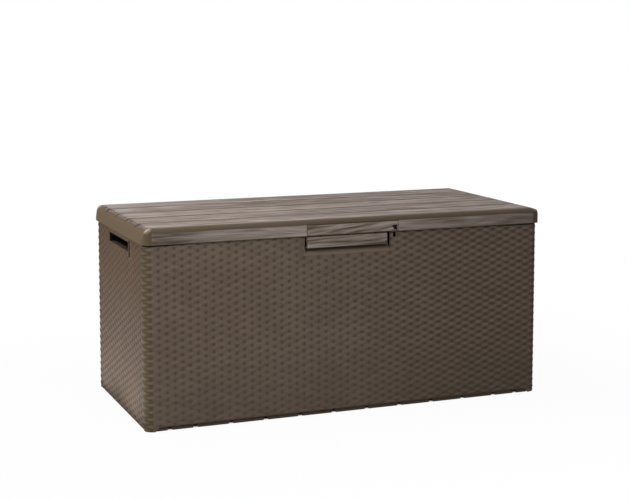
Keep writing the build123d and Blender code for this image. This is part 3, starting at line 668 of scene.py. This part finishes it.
print("tones from", TONES[0], "to", TONES[1])

# %% A woven skin
STEPS_PER_STAKE = 8
FINE_PLACES = 20001
CORNER_BLEND = 3 * MM
WINDOW_FLAT = 17 * MM
WINDOW_RELIEF = 0.08
# Painted shade: a darker, warmer brown grows between these heights.
TOP_SHADE_Z = (200 * MM, 480 * MM)


def columns_along(path, length, axis, exact):
    """Even places along a path, with the nearest one moved to each exact place on the wall's own axis."""
    along = np.linspace(0, length, round(length / STAKE * STEPS_PER_STAKE) + 1)
    fine = np.linspace(0, length, FINE_PLACES)
    reached = path(fine)[0][:, axis]
    order = np.argsort(reached)
    for place in exact:
        moved = np.interp(place, reached[order], fine[order])
        along[1 + np.argmin(np.abs(along[1:-1] - moved))] = moved
    return along


def window_clearance(along, z, windows):
    """0 at the edge of a window and 1 away from it: the relief is flattened there."""
    clear = np.ones_like(z)
    for start, end, low, high in windows:
        beside = np.maximum(np.maximum(start - along, along - end), 0)
        above = np.maximum(np.maximum(low - z, z - high), 0)
        clear = np.minimum(clear, smooth_step(np.hypot(beside, above) / WINDOW_FLAT))
    return clear


def kept_cells(lines, places, windows):
    """The cells that stay: none in a window, and none of the first strand where the bottom has cut it off."""
    middle = (places[1:] + places[:-1]) / 2
    keep = np.ones((STRANDS * STEPS_PER_STRAND, len(middle)), bool)
    for start, end, low, high in windows:
        first = round(low / STRAND) * STEPS_PER_STRAND
        last = min(round(high / STRAND), STRANDS) * STEPS_PER_STRAND
        keep[first:last, (middle > start) & (middle < end)] = False
    flat = lines[1] - lines[0] < MERGE
    keep[:STEPS_PER_STRAND, flat[:-1] & flat[1:]] = False
    return keep


def weave_skin(name, path, length, axis, bottom, top, windows, steps, rounding, rise, top_shade, low_cut):
    """A woven skin along a path round the box. Windows and steps are places on the wall's own axis.

    The rounding is how far it runs round a corner at each end. The rise says where along the path the
    swellings grow, and the top shade is how strongly a darker, warmer brown is painted towards the wall's
    top, as painted shade.
    """
    exact = [place for window in windows for place in window[:2]] + list(steps)
    along = columns_along(path, length, axis, exact)
    ground, normal = path(along)
    places = ground[:, axis]
    stakes = (along - length % STAKE / 2) / STAKE
    lines = strand_edges(stakes, places, bottom(ground), top(ground), windows)
    past_corner = np.minimum(along, length - along) - rounding
    corner = np.where(rounding > 0, 1 - smooth_step(past_corner / CORNER_BLEND), 0.0)
    height, painted_shade, tone = weave_heights(stakes, corner, rise(along / length), low_cut)
    strand, across = strand_places()
    low_line = lines[strand[:, 0]]
    high_line = lines[strand[:, 0] + 1]
    surface = np.zeros(height.shape + (3,))
    surface[..., :Z] = ground
    surface[..., Z] = low_line + (high_line - low_line) * across
    clearance = window_clearance(places, surface[..., Z], windows)
    height = height * (WINDOW_RELIEF + (1 - WINDOW_RELIEF) * clearance)
    outward = np.zeros(surface.shape)
    outward[..., :Z] = normal
    # Painted shade towards the top of the wall, by the top shade.
    attributes = {
        "painted_shade": painted_shade, "tone": tone, "corner": np.broadcast_to(corner, height.shape),
        "painted_top_shade": top_shade * smooth_step((surface[..., Z] - TOP_SHADE_Z[0]) / (TOP_SHADE_Z[1] - TOP_SHADE_Z[0])),
    }
    closed_skin(
        name, surface, outward, height, kept_cells(lines, places, windows), attributes, wicker_plastic,
        "box",
    )


print("columns are", round(STAKE / STEPS_PER_STAKE / MM, 2), "mm wide")

# %% [markdown]
# ## The four woven walls
# The front and back walls run round the corners as far as the ends, so their strands bend round the
# rounding of 20 mm. Each wall could be drawn by itself, but turning the front by half a turn gives the
# back, and the left end gives the right one. The weave leaves out the latch pocket, the hand holes and a
# flat pad around each hinge, and along the bottom of the long walls it ends at the step above the feet.

# %% Path and edges of the long walls
wall_low, wall_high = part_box("front_wall")
HALF_X = wall_high.x
HALF_Y = -wall_low.y
RIM_Z = wall_high.z
QUARTER = math.pi / 2
CORNER = 20 * MM
STRAIGHT = 2 * (HALF_X - CORNER)
LONG = STRAIGHT + 2 * CORNER * QUARTER
FEET_END = 562 * MM
FEET_RISE = 12.5 * MM
FEET_STEPS = [sign * (FEET_END - part) for sign in (-1, 1) for part in (0, FEET_RISE)]
BOTTOM_GAP = 0.4 * MM
GAP_Z = lid_low.z - 4.4 * MM
GAP_RUN = 300 * MM
HASP_END = 156 * MM
HASP_TOP = lid_low.z - 1 * MM
WEAVE_TOP = STRANDS * STRAND
RISE_START = 0.4
RISE_RUN = 0.45


def long_wall_path(turn):
    """Points and normals round the front wall, or with a turn of -1 round the back wall."""
    def path(along):
        first = np.clip(along / CORNER, 0, QUARTER)
        last = np.clip((along - STRAIGHT) / CORNER - QUARTER, 0, QUARTER)
        angle = first + last
        normal = np.stack([-np.cos(angle), -np.sin(angle)], axis=1)
        centre = np.zeros_like(normal)
        centre[:, X] = np.clip(along - CORNER * QUARTER, 0, STRAIGHT) - STRAIGHT / 2
        centre[:, Y] = CORNER - HALF_Y
        return turn * (centre + CORNER * normal), turn * normal
    return path


def long_wall_bottom(ground):
    """Close to the ground at the corners, and above the feet between them."""
    return BOTTOM_GAP + np.clip(FEET_END - np.abs(ground[:, X]), 0, FEET_RISE)


def long_wall_top(ground):
    """Just below the lid at the corners, where a dark gap shows, and behind its skirt further along."""
    out = np.abs(ground[:, X])
    top = GAP_Z + (WEAVE_TOP - GAP_Z) * smooth_step((HALF_X - out) / GAP_RUN)
    return np.where(out < HASP_END, np.minimum(top, HASP_TOP), top)


def long_wall_rise(part):
    return smooth_step((part - RISE_START) / RISE_RUN)


print("long walls:", round(LONG / MM), "mm round the corners")

# %% Front and back weave
CORNER_SHORT = 4 * MM
LOW_CUT = 0.62
POCKET_FLANGE = 10 * MM
HASP_START = 115 * MM
HASP_HOLE_X = (125 * MM, 135 * MM)
HASP_HOLE_Z = 482 * MM
HINGE_PAD_X = 66 * MM
HINGE_PAD_Z = 457 * MM
pocket_windows = [
    (pocket_low.x + POCKET_FLANGE, HASP_START, pocket_low.z + POCKET_FLANGE, RIM_Z),
    (HASP_HOLE_X[0], HASP_HOLE_X[1], HASP_HOLE_Z, RIM_Z),
]
hinge_windows = []
for side in ("left", "right"):
    hinge_low, hinge_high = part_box("hinge_bracket_" + side)
    hinge_x = (hinge_low.x + hinge_high.x) / 2
    hinge_windows.append((hinge_x - HINGE_PAD_X, hinge_x + HINGE_PAD_X, HINGE_PAD_Z, RIM_Z))
for name, turn, windows in (("front", 1, pocket_windows), ("back", -1, hinge_windows)):
    weave_skin(
        name + "_wall_weave", long_wall_path(turn), LONG, X, long_wall_bottom, long_wall_top, windows,
        FEET_STEPS, rounding=CORNER * QUARTER - CORNER_SHORT, rise=long_wall_rise, top_shade=0.0,
        low_cut=LOW_CUT,
    )

# %% End weaves
HOLE_MARGIN = 0.5 * MM
SLOT_WINDOW = (-109 * MM, -97.5 * MM, 445 * MM, 490 * MM)
END_RISE = 0.8
# How strongly the ends get the painted shade towards their top.
END_TOP_SHADE = 0.8
end_low, end_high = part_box("left_end_wall")
END_LENGTH = end_high.y - end_low.y
hand_windows = [
    (
        HAND_HOLE_Y[0] - HOLE_MARGIN, HAND_HOLE_Y[1] + HOLE_MARGIN,
        HAND_HOLE_Z[0] - HOLE_MARGIN, HAND_HOLE_Z[1] + HOLE_MARGIN,
    ),
    SLOT_WINDOW,
]


def end_wall_path(turn):
    """Points and normals along the left end from back to front, or with a turn of -1 along the right end."""
    def path(along):
        ground = np.stack([np.full_like(along, -HALF_X), END_LENGTH / 2 - along], axis=1)
        normal = np.tile([-1.0, 0.0], (len(along), 1))
        return turn * ground, turn * normal
    return path


def end_wall_bottom(ground):
    return np.full(len(ground), end_low.z + BOTTOM_GAP)


def end_wall_top(ground):
    return np.full(len(ground), WEAVE_TOP)


def end_wall_rise(part):
    return np.full_like(part, END_RISE)


for side, turn in (("left", 1), ("right", -1)):
    weave_skin(
        side + "_end_weave", end_wall_path(turn), END_LENGTH, Y, end_wall_bottom, end_wall_top,
        hand_windows, steps=[], rounding=0.0, rise=end_wall_rise, top_shade=END_TOP_SHADE, low_cut=1.0,
    )

# %% [markdown]
# ## Wood grain
# The boards' grain is made of three things: year rings cut at a slant, which draw long arches, streaks of
# several lengths along the board, and the coat that is wiped over it. Painting it by hand or photographing
# real wood would do too, but a seeded formula gives the same board each time, at any size. The value is 1
# on the raised, pale lines and 0 in the furrows.

# %% Streaks
LANES = 97
CELLS = 101


def streaks(along, across, long, wide, seed):
    """Random streaks of a length and a width, blended smoothly, between -1 and 1."""
    rng = np.random.default_rng(seed)
    table = rng.uniform(-1, 1, (LANES, CELLS))
    shift = rng.uniform(0, CELLS, LANES)
    lane = np.floor(across / wide).astype(int)
    between = smooth_step(across / wide - lane)
    total = 0
    for side, weight in ((0, 1 - between), (1, between)):
        row = (lane + side) % LANES
        place = along / long + shift[row]
        cell = np.floor(place).astype(int)
        part = smooth_step(place - cell)
        value = table[row, cell % CELLS] * (1 - part) + table[row, (cell + 1) % CELLS] * part
        total = total + value * weight
    return total


print("streaks repeat after", LANES, "lanes")

# %% Rings and streaks of a board
RING = 9 * MM
RING_SHARE = 0.19
RING_BEND = 0.5
RING_BEND_LONG = 110 * MM
RING_BEND_WIDE = 16 * MM
HEART_OFF = 30 * MM
HEART_DEPTH = 8 * MM
APEX_OFF = 400 * MM
LEAN = (0.03, 0.07)
WANDER = 7 * MM
WANDER_LONG = 210 * MM
STREAKS = ((60 * MM, 3.2 * MM, 0.34), (170 * MM, 7 * MM, 0.30), (26 * MM, 1.8 * MM, 0.16))


def wood_grain(along, across, seed):
    """Pale lines (1) and furrows (0) of one board. Each part of it draws from a seed of its own."""
    rng = np.random.default_rng(seed)
    heart = rng.uniform(-HEART_OFF, HEART_OFF)
    apex = rng.uniform(-APEX_OFF, APEX_OFF)
    lean = rng.uniform(*LEAN)
    wander = WANDER * streaks(along, 0 * across, WANDER_LONG, 1.0, seed + 1)
    depth = HEART_DEPTH + lean * np.abs(along - apex)
    bend = RING_BEND * streaks(along, across, RING_BEND_LONG, RING_BEND_WIDE, seed + 2)
    ring = np.hypot(across - heart - wander, depth) / RING + bend
    value = 0.5 + RING_SHARE * np.cos(2 * math.pi * ring)
    for number, (long, wide, weight) in enumerate(STREAKS):
        value = value + weight * streaks(along, across, long, wide, seed + 3 + number)
    return np.clip(value, 0, 1)


print("year rings", RING / MM, "mm apart")

# %% A grained skin
GRAIN_RELIEF = 0.7 * MM
FURROW_RELIEF = 0.3
BARE_COAT = 0.26
NICK_LONG = 900 * MM
NICK_WIDE = 11 * MM
NICK_SHARE = 2.5
NICK_RARE = 0.7
NICK_SHADE = 0.6


def grain_skin(name, surface, outward, along, across, seed, level, contrast, fade, keep, body):
    """A grained skin. The level is how much pale coat it holds and the contrast how much the grain shows.

    Fade gives the relief and the coat that are left near the edges. Where the coat has run out, long nicks
    show darker.
    """
    grain = wood_grain(along, across, seed)
    relief, pale = fade
    height = GRAIN_RELIEF * (FURROW_RELIEF + (1 - FURROW_RELIEF) * grain) * relief
    coat = BARE_COAT + (np.clip(level + contrast * (grain - 0.5), 0, 1) - BARE_COAT) * pale
    nick = np.clip(NICK_SHARE * streaks(along, across, NICK_LONG, NICK_WIDE, seed + 6) - NICK_RARE, 0, 1)
    coat = coat - NICK_SHADE * nick * relief * (1 - pale)
    closed_skin(name, surface, outward, height, keep, {"coat": coat}, board_plastic, body)


print("grain of up to", GRAIN_RELIEF / MM, "mm")

# %% Grids and edges of a grained skin
SHARP = 0.6 * MM
EDGE_FADE = 1.6 * MM
RAGGED = 0.45
RAGGED_LONG = 900 * MM
RAGGED_WIDE = 4 * MM


def flat_grid(along, across, fixed, axes):
    """Points of a flat grid: columns run along one axis, rows across another, and a third is fixed."""
    surface = np.empty((len(across), len(along), 3))
    surface[..., axes[0]] = along
    surface[..., axes[1]] = across[:, None]
    surface[..., axes[2]] = fixed
    return surface


def all_cells(grid):
    return np.ones((grid.shape[0] - 1, grid.shape[1] - 1), bool)


def spaced(start, end, step, exact=()):
    """Even places from start to end, with the nearest one moved to each exact place."""
    places = np.linspace(start, end, round(abs(end - start) / step) + 1)
    for place in exact:
        places[1 + np.argmin(np.abs(places[1:-1] - place))] = place
    return places


def with_ends(places, margin):
    """The same places, with one more a margin inside each end, so that an edge can be sharp."""
    step = math.copysign(margin, places[-1] - places[0])
    return np.concatenate([places[:1], places[:1] + step, places[1:-1], places[-1:] - step, places[-1:]])


def edge_fade(along, across, seed, relief_end=SHARP, coat_end=0.0, coat_edge=SHARP, coat_side=EDGE_FADE):
    """How much relief and coat is left near the edges. The coat ends raggedly, where the wiping ran out."""
    end = np.minimum(along - along.min(), along.max() - along)
    side = np.minimum(across - across.min(), across.max() - across)
    ragged = RAGGED * coat_end * streaks(along, across, RAGGED_LONG, RAGGED_WIDE, seed)
    relief = smooth_step(end / relief_end) * smooth_step(side / EDGE_FADE)
    coat = smooth_step((end - coat_end + ragged) / coat_edge) * smooth_step(side / coat_side)
    return relief, coat


print("grain fades over", EDGE_FADE / MM, "mm")

# %% [markdown]
# ## Boards of the lid
# On the real lid the five boards are one moulding with grooves between them. The edge all round, and the
# ends, are smooth brown. Five loose planks would be simpler to make, but the lid would no longer be one
# piece. So the CAD lid stays, and each board gets a grained skin between its grooves. At the ends the skin
# bends down over the rounded shoulder: the coat stops there and the furrows run out.

# %% Five boards
BOARD = 107.5 * MM
GROOVE = 5 * MM
GROOVE_LIP = 0.6 * MM
EDGE_BAND = 20 * MM
SHOULDER_R = 22 * MM
SHOULDER_IN = 26.6 * MM
SHOULDER_ARC = math.radians(36)
SHOULDER_POINTS = 9
GRAIN_LONG = 7 * MM
GRAIN_WIDE = 1.5 * MM
# At a board's sides the coat thins, as the wiping leaves it, over a width that also paints the groove's shade
# as a dark line.
BOARD_FADE = {
    "relief_end": 5 * MM, "coat_end": 9 * MM, "coat_edge": 2.5 * MM, "coat_side": 3.6 * MM,
}
BOARD_CONTRAST = 1.05
BOARD_DARKER = 0.08
# Painted shade: the boards grow darker towards the right, away from the lamps at the left.
BOARD_PAINTED_SHADE_RIGHT = 0.09
BOARD_LEVELS = (0.62, 0.58, 0.66, 0.55, 0.60)
BOARD_SEEDS = (20, 30, 40, 50, 60)
WIPING_SEED = 300
FLAT_X = lid_high.x - SHOULDER_IN
ARC = SHOULDER_R * SHOULDER_ARC
run = np.concatenate([
    np.linspace(-FLAT_X - ARC, -FLAT_X, SHOULDER_POINTS)[:-1], spaced(-FLAT_X, FLAT_X, GRAIN_LONG),
    np.linspace(FLAT_X, FLAT_X + ARC, SHOULDER_POINTS)[1:],
])
bent = np.sign(run) * np.maximum(np.abs(run) - FLAT_X, 0) / SHOULDER_R
for number, (level, seed) in enumerate(zip(BOARD_LEVELS, BOARD_SEEDS)):
    middle = (number - len(BOARD_LEVELS) // 2) * BOARD
    start = max(middle - (BOARD - GROOVE) / 2 + GROOVE_LIP, lid_low.y + EDGE_BAND)
    end = min(middle + (BOARD - GROOVE) / 2 - GROOVE_LIP, lid_high.y - EDGE_BAND)
    y = spaced(start, end, GRAIN_WIDE)
    along, across = np.meshgrid(run, y - middle)
    fade = edge_fade(along, across, WIPING_SEED + number, **BOARD_FADE)
    # Less coat towards the right, as painted shade.
    level = level - BOARD_DARKER - BOARD_PAINTED_SHADE_RIGHT * along / FLAT_X
    surface = flat_grid(np.clip(run, -FLAT_X, FLAT_X) + SHOULDER_R * np.sin(bent), y, 0.0, (X, Y, Z))
    surface[..., Z] = lid_high.z - SHOULDER_R * (1 - np.cos(bent))
    outward = np.zeros(surface.shape)
    outward[..., X] = np.sin(bent)
    outward[..., Z] = np.cos(bent)
    grain_skin(
        "lid_board_" + str(number + 1), surface, outward, along, across, seed, level, BOARD_CONTRAST, fade,
        all_cells(along), "lid",
    )

# %% [markdown]
# ## Skirt of the lid
# The skirt's long faces carry the same grain below the smooth edge, and it ends sharply just before each
# corner. In front the latch plate parts it in two. The wiped coat is patchy here, and it held less near the
# left corner than beside the latch, so its level runs from one value to another along each stretch, with
# streaks of its own. Painting the patches by hand would do too, but a seed gives the same ones each time.

# %% Grain on the skirt
SKIRT_END = 25 * MM
SKIRT_Z = (lid_low.z + 1.4 * MM, lid_high.z - 11.8 * MM)
SKIRT_CONTRAST = 0.38
PATCH_LONG = 75 * MM
PATCH_WIDE = 13 * MM
PATCH_SHARE = 0.15
PLATE_GAP = 0.9 * MM
PLATE_SEAM = 0.1 * MM
PLATE_FLANGE = 11 * MM
plate_low, plate_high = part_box("latch_plate")
PLATE_X = (plate_low.x + PLATE_FLANGE, plate_high.x - PLATE_FLANGE)
outer = lid_high.x - SKIRT_END
skirts = (
    ("skirt_front_left", -outer, PLATE_X[0] - PLATE_GAP, -1, (0.20, 0.78), 101),
    ("skirt_front_right", PLATE_X[1] + PLATE_SEAM, outer, -1, (0.54, 0.30), 117),
    ("skirt_back", outer, -outer, 1, (0.5, 0.5), 131),
)
for name, start, end, side, levels, seed in skirts:
    run = with_ends(spaced(start, end, GRAIN_LONG), SHARP)
    z = spaced(SKIRT_Z[0], SKIRT_Z[1], GRAIN_WIDE)
    along, across = np.meshgrid(run, z - np.mean(SKIRT_Z))
    surface = flat_grid(run, z, side * lid_high.y, (X, Z, Y))
    outward = np.broadcast_to([0.0, side, 0.0], surface.shape)
    level = levels[0] + (levels[1] - levels[0]) * (along - start) / (end - start)
    level = level + PATCH_SHARE * streaks(along, across, PATCH_LONG, PATCH_WIDE, seed + 9)
    fade = edge_fade(along, across, seed + 7)
    grain_skin(
        name, surface, outward, along, across, seed, level, SKIRT_CONTRAST, fade, all_cells(along), "lid"
    )

# %% [markdown]
# ## Latch
# The upper plate sits in the lid's skirt and the flap hangs below it, both grained along the box at a
# slight slant. A bump on the CAD pieces could show the grain, but their meshes stay as they are and can't
# carry the coat's numbers, so these two get skins as well. The plate's skin grows paler to the right and
# leaves out the padlock hole, which is wider at its top. The flap's skin follows its rounded top a little
# way.

# %% Grain on the plate
PLATE_INSET = 0.3 * MM
PLATE_Z = (plate_low.z + 12 * MM, plate_high.z - 0.9 * MM)
PLATE_SLANT = 0.12
PLATE_PALER = 0.14
PLATE_SEED = 151
PLATE_EDGE_SEED = 205
LATCH_LONG = 4 * MM
LATCH_LEVEL = 0.37
LATCH_CONTRAST = 0.8
HOLE_LEFT = 120.4 * MM
HOLE_STEP_X = 124.4 * MM
HOLE_RIGHT = 135.6 * MM
HOLE_LOW = 504.4 * MM
HOLE_STEP_Z = 510.95 * MM
HOLE_HIGH = 518.6 * MM
hole_windows = (
    (HOLE_LEFT, HOLE_RIGHT, HOLE_STEP_Z, HOLE_HIGH),
    (HOLE_STEP_X, HOLE_RIGHT, HOLE_LOW, HOLE_STEP_Z),
)
hole_edges = (HOLE_LEFT, HOLE_STEP_X, HOLE_RIGHT)
x = with_ends(spaced(PLATE_X[0] + PLATE_INSET, PLATE_X[1] - PLATE_SEAM, LATCH_LONG, hole_edges), SHARP)
z = spaced(PLATE_Z[0], PLATE_Z[1], GRAIN_WIDE, (HOLE_LOW, HOLE_STEP_Z, HOLE_HIGH))
along, across = np.meshgrid(x, z - np.mean(PLATE_Z))
keep = all_cells(along)
middle_x = (x[1:] + x[:-1]) / 2
middle_z = (z[1:] + z[:-1]) / 2
for start, end, low, high in hole_windows:
    keep[np.ix_((middle_z > low) & (middle_z < high), (middle_x > start) & (middle_x < end))] = False
surface = flat_grid(x, z, lid_low.y, (X, Z, Y))
outward = np.broadcast_to([0.0, -1.0, 0.0], surface.shape)
grain_skin(
    "latch_plate_grain", surface, outward, along, across - PLATE_SLANT * along, PLATE_SEED,
    LATCH_LEVEL + PLATE_PALER * along / PLATE_X[1], LATCH_CONTRAST,
    edge_fade(along, across, PLATE_EDGE_SEED), keep, "lid",
)

# %% Grain on the flap
FLAP_R = 6.5 * MM
FLAP_ARC = math.radians(30)
FLAP_EDGE = 0.8 * MM
FLAP_SLANT = 0.05
FLAP_SEED = 171
FLAP_EDGE_SEED = 206
flap_low, flap_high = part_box("latch_flap")
pivot_y = flap_low.y + FLAP_R
pivot_z = flap_high.z - FLAP_R
x = with_ends(spaced(PLATE_X[0], flap_high.x - FLAP_EDGE, LATCH_LONG), SHARP)
run = spaced(flap_low.z + FLAP_EDGE, pivot_z + FLAP_R * FLAP_ARC, GRAIN_WIDE, (pivot_z,))
angle = np.clip((run - pivot_z) / FLAP_R, 0, FLAP_ARC)
surface = flat_grid(x, np.minimum(run, pivot_z) + FLAP_R * np.sin(angle), 0.0, (X, Z, Y))
surface[..., Y] = (pivot_y - FLAP_R * np.cos(angle))[:, None]
outward = np.zeros(surface.shape)
outward[..., Y] = -np.cos(angle)[:, None]
outward[..., Z] = np.sin(angle)[:, None]
along, across = np.meshgrid(x, run - np.mean(run))
grain_skin(
    "latch_flap_grain", surface, outward, along, across - FLAP_SLANT * along, FLAP_SEED, LATCH_LEVEL,
    LATCH_CONTRAST, edge_fade(along, across, FLAP_EDGE_SEED), all_cells(along), "flap",
)

# %% [markdown]
# ## Finishes of the CAD pieces
# Every real piece has the finish of what it is made of. New meshes could be drawn for them, but the CAD
# pieces already have the right shape and place, so each keeps its mesh and only gets its material.

# %% Assign finishes
finishes = {
    brown_plastic: ("latch_plate", "latch_flap"),
    wall_plastic: ("front_wall", "back_wall", "left_end_wall", "right_end_wall"),
    lid_plastic: ("lid_shell",),
    cup_plastic: ("left_hand_cup", "right_hand_cup"),
    pocket_plastic: ("latch_pocket",),
    inner_plastic: (
        "corner_post_front_left", "corner_post_front_right", "corner_post_back_left",
        "corner_post_back_right", "lid_liner", "wall_rivets", "hinge_bracket_left", "hinge_bracket_right",
        "hinge_knuckle_left", "hinge_knuckle_right",
    ),
    floor_plastic: ("floor_half_left", "floor_half_right", "floor_splice"),
    zinc_steel: (
        "splice_screws", "hinge_pin_left", "hinge_pin_right", "hinge_bolts", "hinge_nuts",
        "lid_hinge_screws", "latch_plate_screws", "flap_pin",
    ),
    black_rubber: ("lid_bumpers",),
}
for material, names in finishes.items():
    for name in names:
        for slot in nodes[name].material_slots:
            slot.material = material
    print(material.name, "on", len(names), "pieces")

# %% [markdown]
# ## Studio
# The photograph is a cut-out on white under soft light from the left and above. A pale floor runs to the
# horizon. White could come from stronger lamps, but they would bleach the object. So rays that the camera,
# a mirror or glass sends out see plain white, while the light that falls on the object comes from a weaker
# sky and large lamps, and colours stay as they are written. Under the box the floor stays dark, close by it
# keeps a soft shadow, and from there it goes over into plain white.

# %% Floor and sky
FLOOR_SIZE = 60.0
FLOOR_DROP = 0.2 * MM
FLOOR_GREY = "#C4C3C1"
WHITE = "#FFFFFF"
UNDER_EDGE = 20 * MM
NEAR_WHITE = 0.965
WHITE_AT = 1.0
SKY = 0.15


def seen_ray(tree):
    """1 for rays from the camera, and for those that a shiny or clear surface sends on."""
    path = add(tree, "LightPath").outputs
    seen = path["Is Camera Ray"]
    for kind in ("Is Glossy Ray", "Is Transmission Ray"):
        seen = add(tree, "Math", {0: seen, 1: path[kind]}, operation="MAXIMUM")
    return seen


def floor_white(tree):
    """Share of plain white in the floor: 0 under the box, most of it close by, all of it further out."""
    place = add(tree, "SeparateXYZ", {0: add(tree, "TexCoord").outputs["Object"]}).outputs
    beyond = []
    for axis, half in (("X", HALF_X), ("Y", HALF_Y)):
        out = add(tree, "Math", {0: place[axis]}, operation="ABSOLUTE")
        beyond.append(add(tree, "Math", {0: out, 1: half}, operation="SUBTRACT"))
    away = add(tree, "Math", {0: beyond[0], 1: beyond[1]}, operation="MAXIMUM")
    near = add(
        tree, "MapRange",
        {"Value": away, "From Min": -UNDER_EDGE, "From Max": 0.0, "To Max": NEAR_WHITE},
        interpolation_type="SMOOTHSTEP",
    )
    far = add(
        tree, "MapRange",
        {"Value": away, "From Max": WHITE_AT, "To Max": 1 - NEAR_WHITE},
        interpolation_type="SMOOTHSTEP",
    )
    return add(tree, "Math", {0: near, 1: far})


def studio_floor():
    material = bpy.data.materials.new("studio_floor_pale")
    material.use_nodes = True
    tree = material.node_tree
    tree.nodes.clear()
    matt = add(tree, "BsdfDiffuse", {"Color": linear(FLOOR_GREY)})
    white = add(tree, "Emission", {"Color": linear(WHITE), "Strength": 1.0})
    share = add(tree, "Math", {0: seen_ray(tree), 1: floor_white(tree)}, operation="MULTIPLY")
    mixed = add(tree, "MixShader", {0: share, 1: matt, 2: white})
    add(tree, "OutputMaterial", {"Surface": mixed})
    return material


floor_mesh = bpy.data.meshes.new("studio_floor")
half = FLOOR_SIZE / 2
corners = [(-half, -half), (half, -half), (half, half), (-half, half)]
floor_mesh.from_pydata([(x, y, -FLOOR_DROP) for x, y in corners], [], [(0, 1, 2, 3)])
floor_mesh.materials.append(studio_floor())
studio = bpy.data.objects.new("studio_floor", floor_mesh)
bpy.context.scene.collection.objects.link(studio)

world = bpy.data.worlds.new("studio_sky")
bpy.context.scene.world = world
world.use_nodes = True
sky_tree = world.node_tree
strength = add(sky_tree, "MapRange", {"Value": seen_ray(sky_tree), "To Min": SKY, "To Max": 1.0})
link(sky_tree, sky_tree.nodes["Background"], {"Color": linear(WHITE), "Strength": strength})
print("floor of", FLOOR_SIZE, "m and sky of", SKY)

# %% [markdown]
# ## Lamps
# Large soft lamps stand where a studio has them: a key at the left, one in front, one above, one behind.
# The sky alone could light the box, but then every side would be as bright as the next. Two warm cards on
# the floor throw a little light up the left end, as a white studio floor does. Each lamp has a name, a
# place, a point it looks at, a size in metres, a power in watts and a colour.

# %% Lamps
CARD_WARM = "#FFF6F0"
LAMPS = (
    ("key_lamp", (-2.3, -1.4, 1.8), (0.0, 0.0, 0.3), 0.8, 36.0, WHITE),
    ("front_lamp", (-0.6, -2.1, 1.7), (-0.1, 0.0, 0.4), 1.0, 19.0, WHITE),
    ("top_lamp", (-0.9, 0.2, 3.0), (0.0, 0.0, 0.5), 2.0, 49.0, WHITE),
    ("back_lamp", (2.0, 1.7, 0.5), (0.3, 0.1, 0.3), 0.8, 22.0, WHITE),
    ("floor_card_front", (-0.815, -0.11, 0.01), (-0.815, -0.11, 1.0), 0.42, 1.02, CARD_WARM),
    ("floor_card_back", (-0.815, 0.22, 0.01), (-0.815, 0.22, 1.0), 0.42, 1.1, CARD_WARM),
)
for name, place, target, size, watts, tint in LAMPS:
    lamp = bpy.data.lights.new(name, "AREA")
    lamp.shape = "DISK"
    lamp.size = size
    lamp.energy = watts
    lamp.color = linear(tint)[:3]
    holder = bpy.data.objects.new(name, lamp)
    bpy.context.scene.collection.objects.link(holder)
    holder.location = place
    away = np.array(place) - np.array(target)
    flat = math.hypot(away[0], away[1])
    holder.rotation_euler = (math.atan2(flat, away[2]), 0, math.atan2(away[0], -away[1]))
    print(name, watts, "W")

# %% [markdown]
# ## Camera
# The place and lens were found from the box's corners in the photograph. Tilting the camera alone would
# make the upright edges lean together, so the frame is also shifted down a little, as a view camera does,
# and they stay nearly parallel.

# %% Camera
CAMERA_AT = (-1.5312, -3.8497, 1.0830)
CAMERA_YAW = math.radians(21.665)
CAMERA_PITCH = math.radians(6.147)
LENS = 81.701
SENSOR = 36.0
FRAME_SHIFT = -0.12
lens = bpy.data.cameras.new("camera")
lens.lens = LENS
lens.sensor_width = SENSOR
lens.shift_y = FRAME_SHIFT
camera = bpy.data.objects.new("camera", lens)
bpy.context.scene.collection.objects.link(camera)
camera.location = CAMERA_AT
camera.rotation_euler = (math.pi / 2 - CAMERA_PITCH, 0, -CAMERA_YAW)
bpy.context.scene.camera = camera
bpy.context.scene.view_settings.view_transform = "Standard"
print("camera with a lens of", lens.lens, "mm")
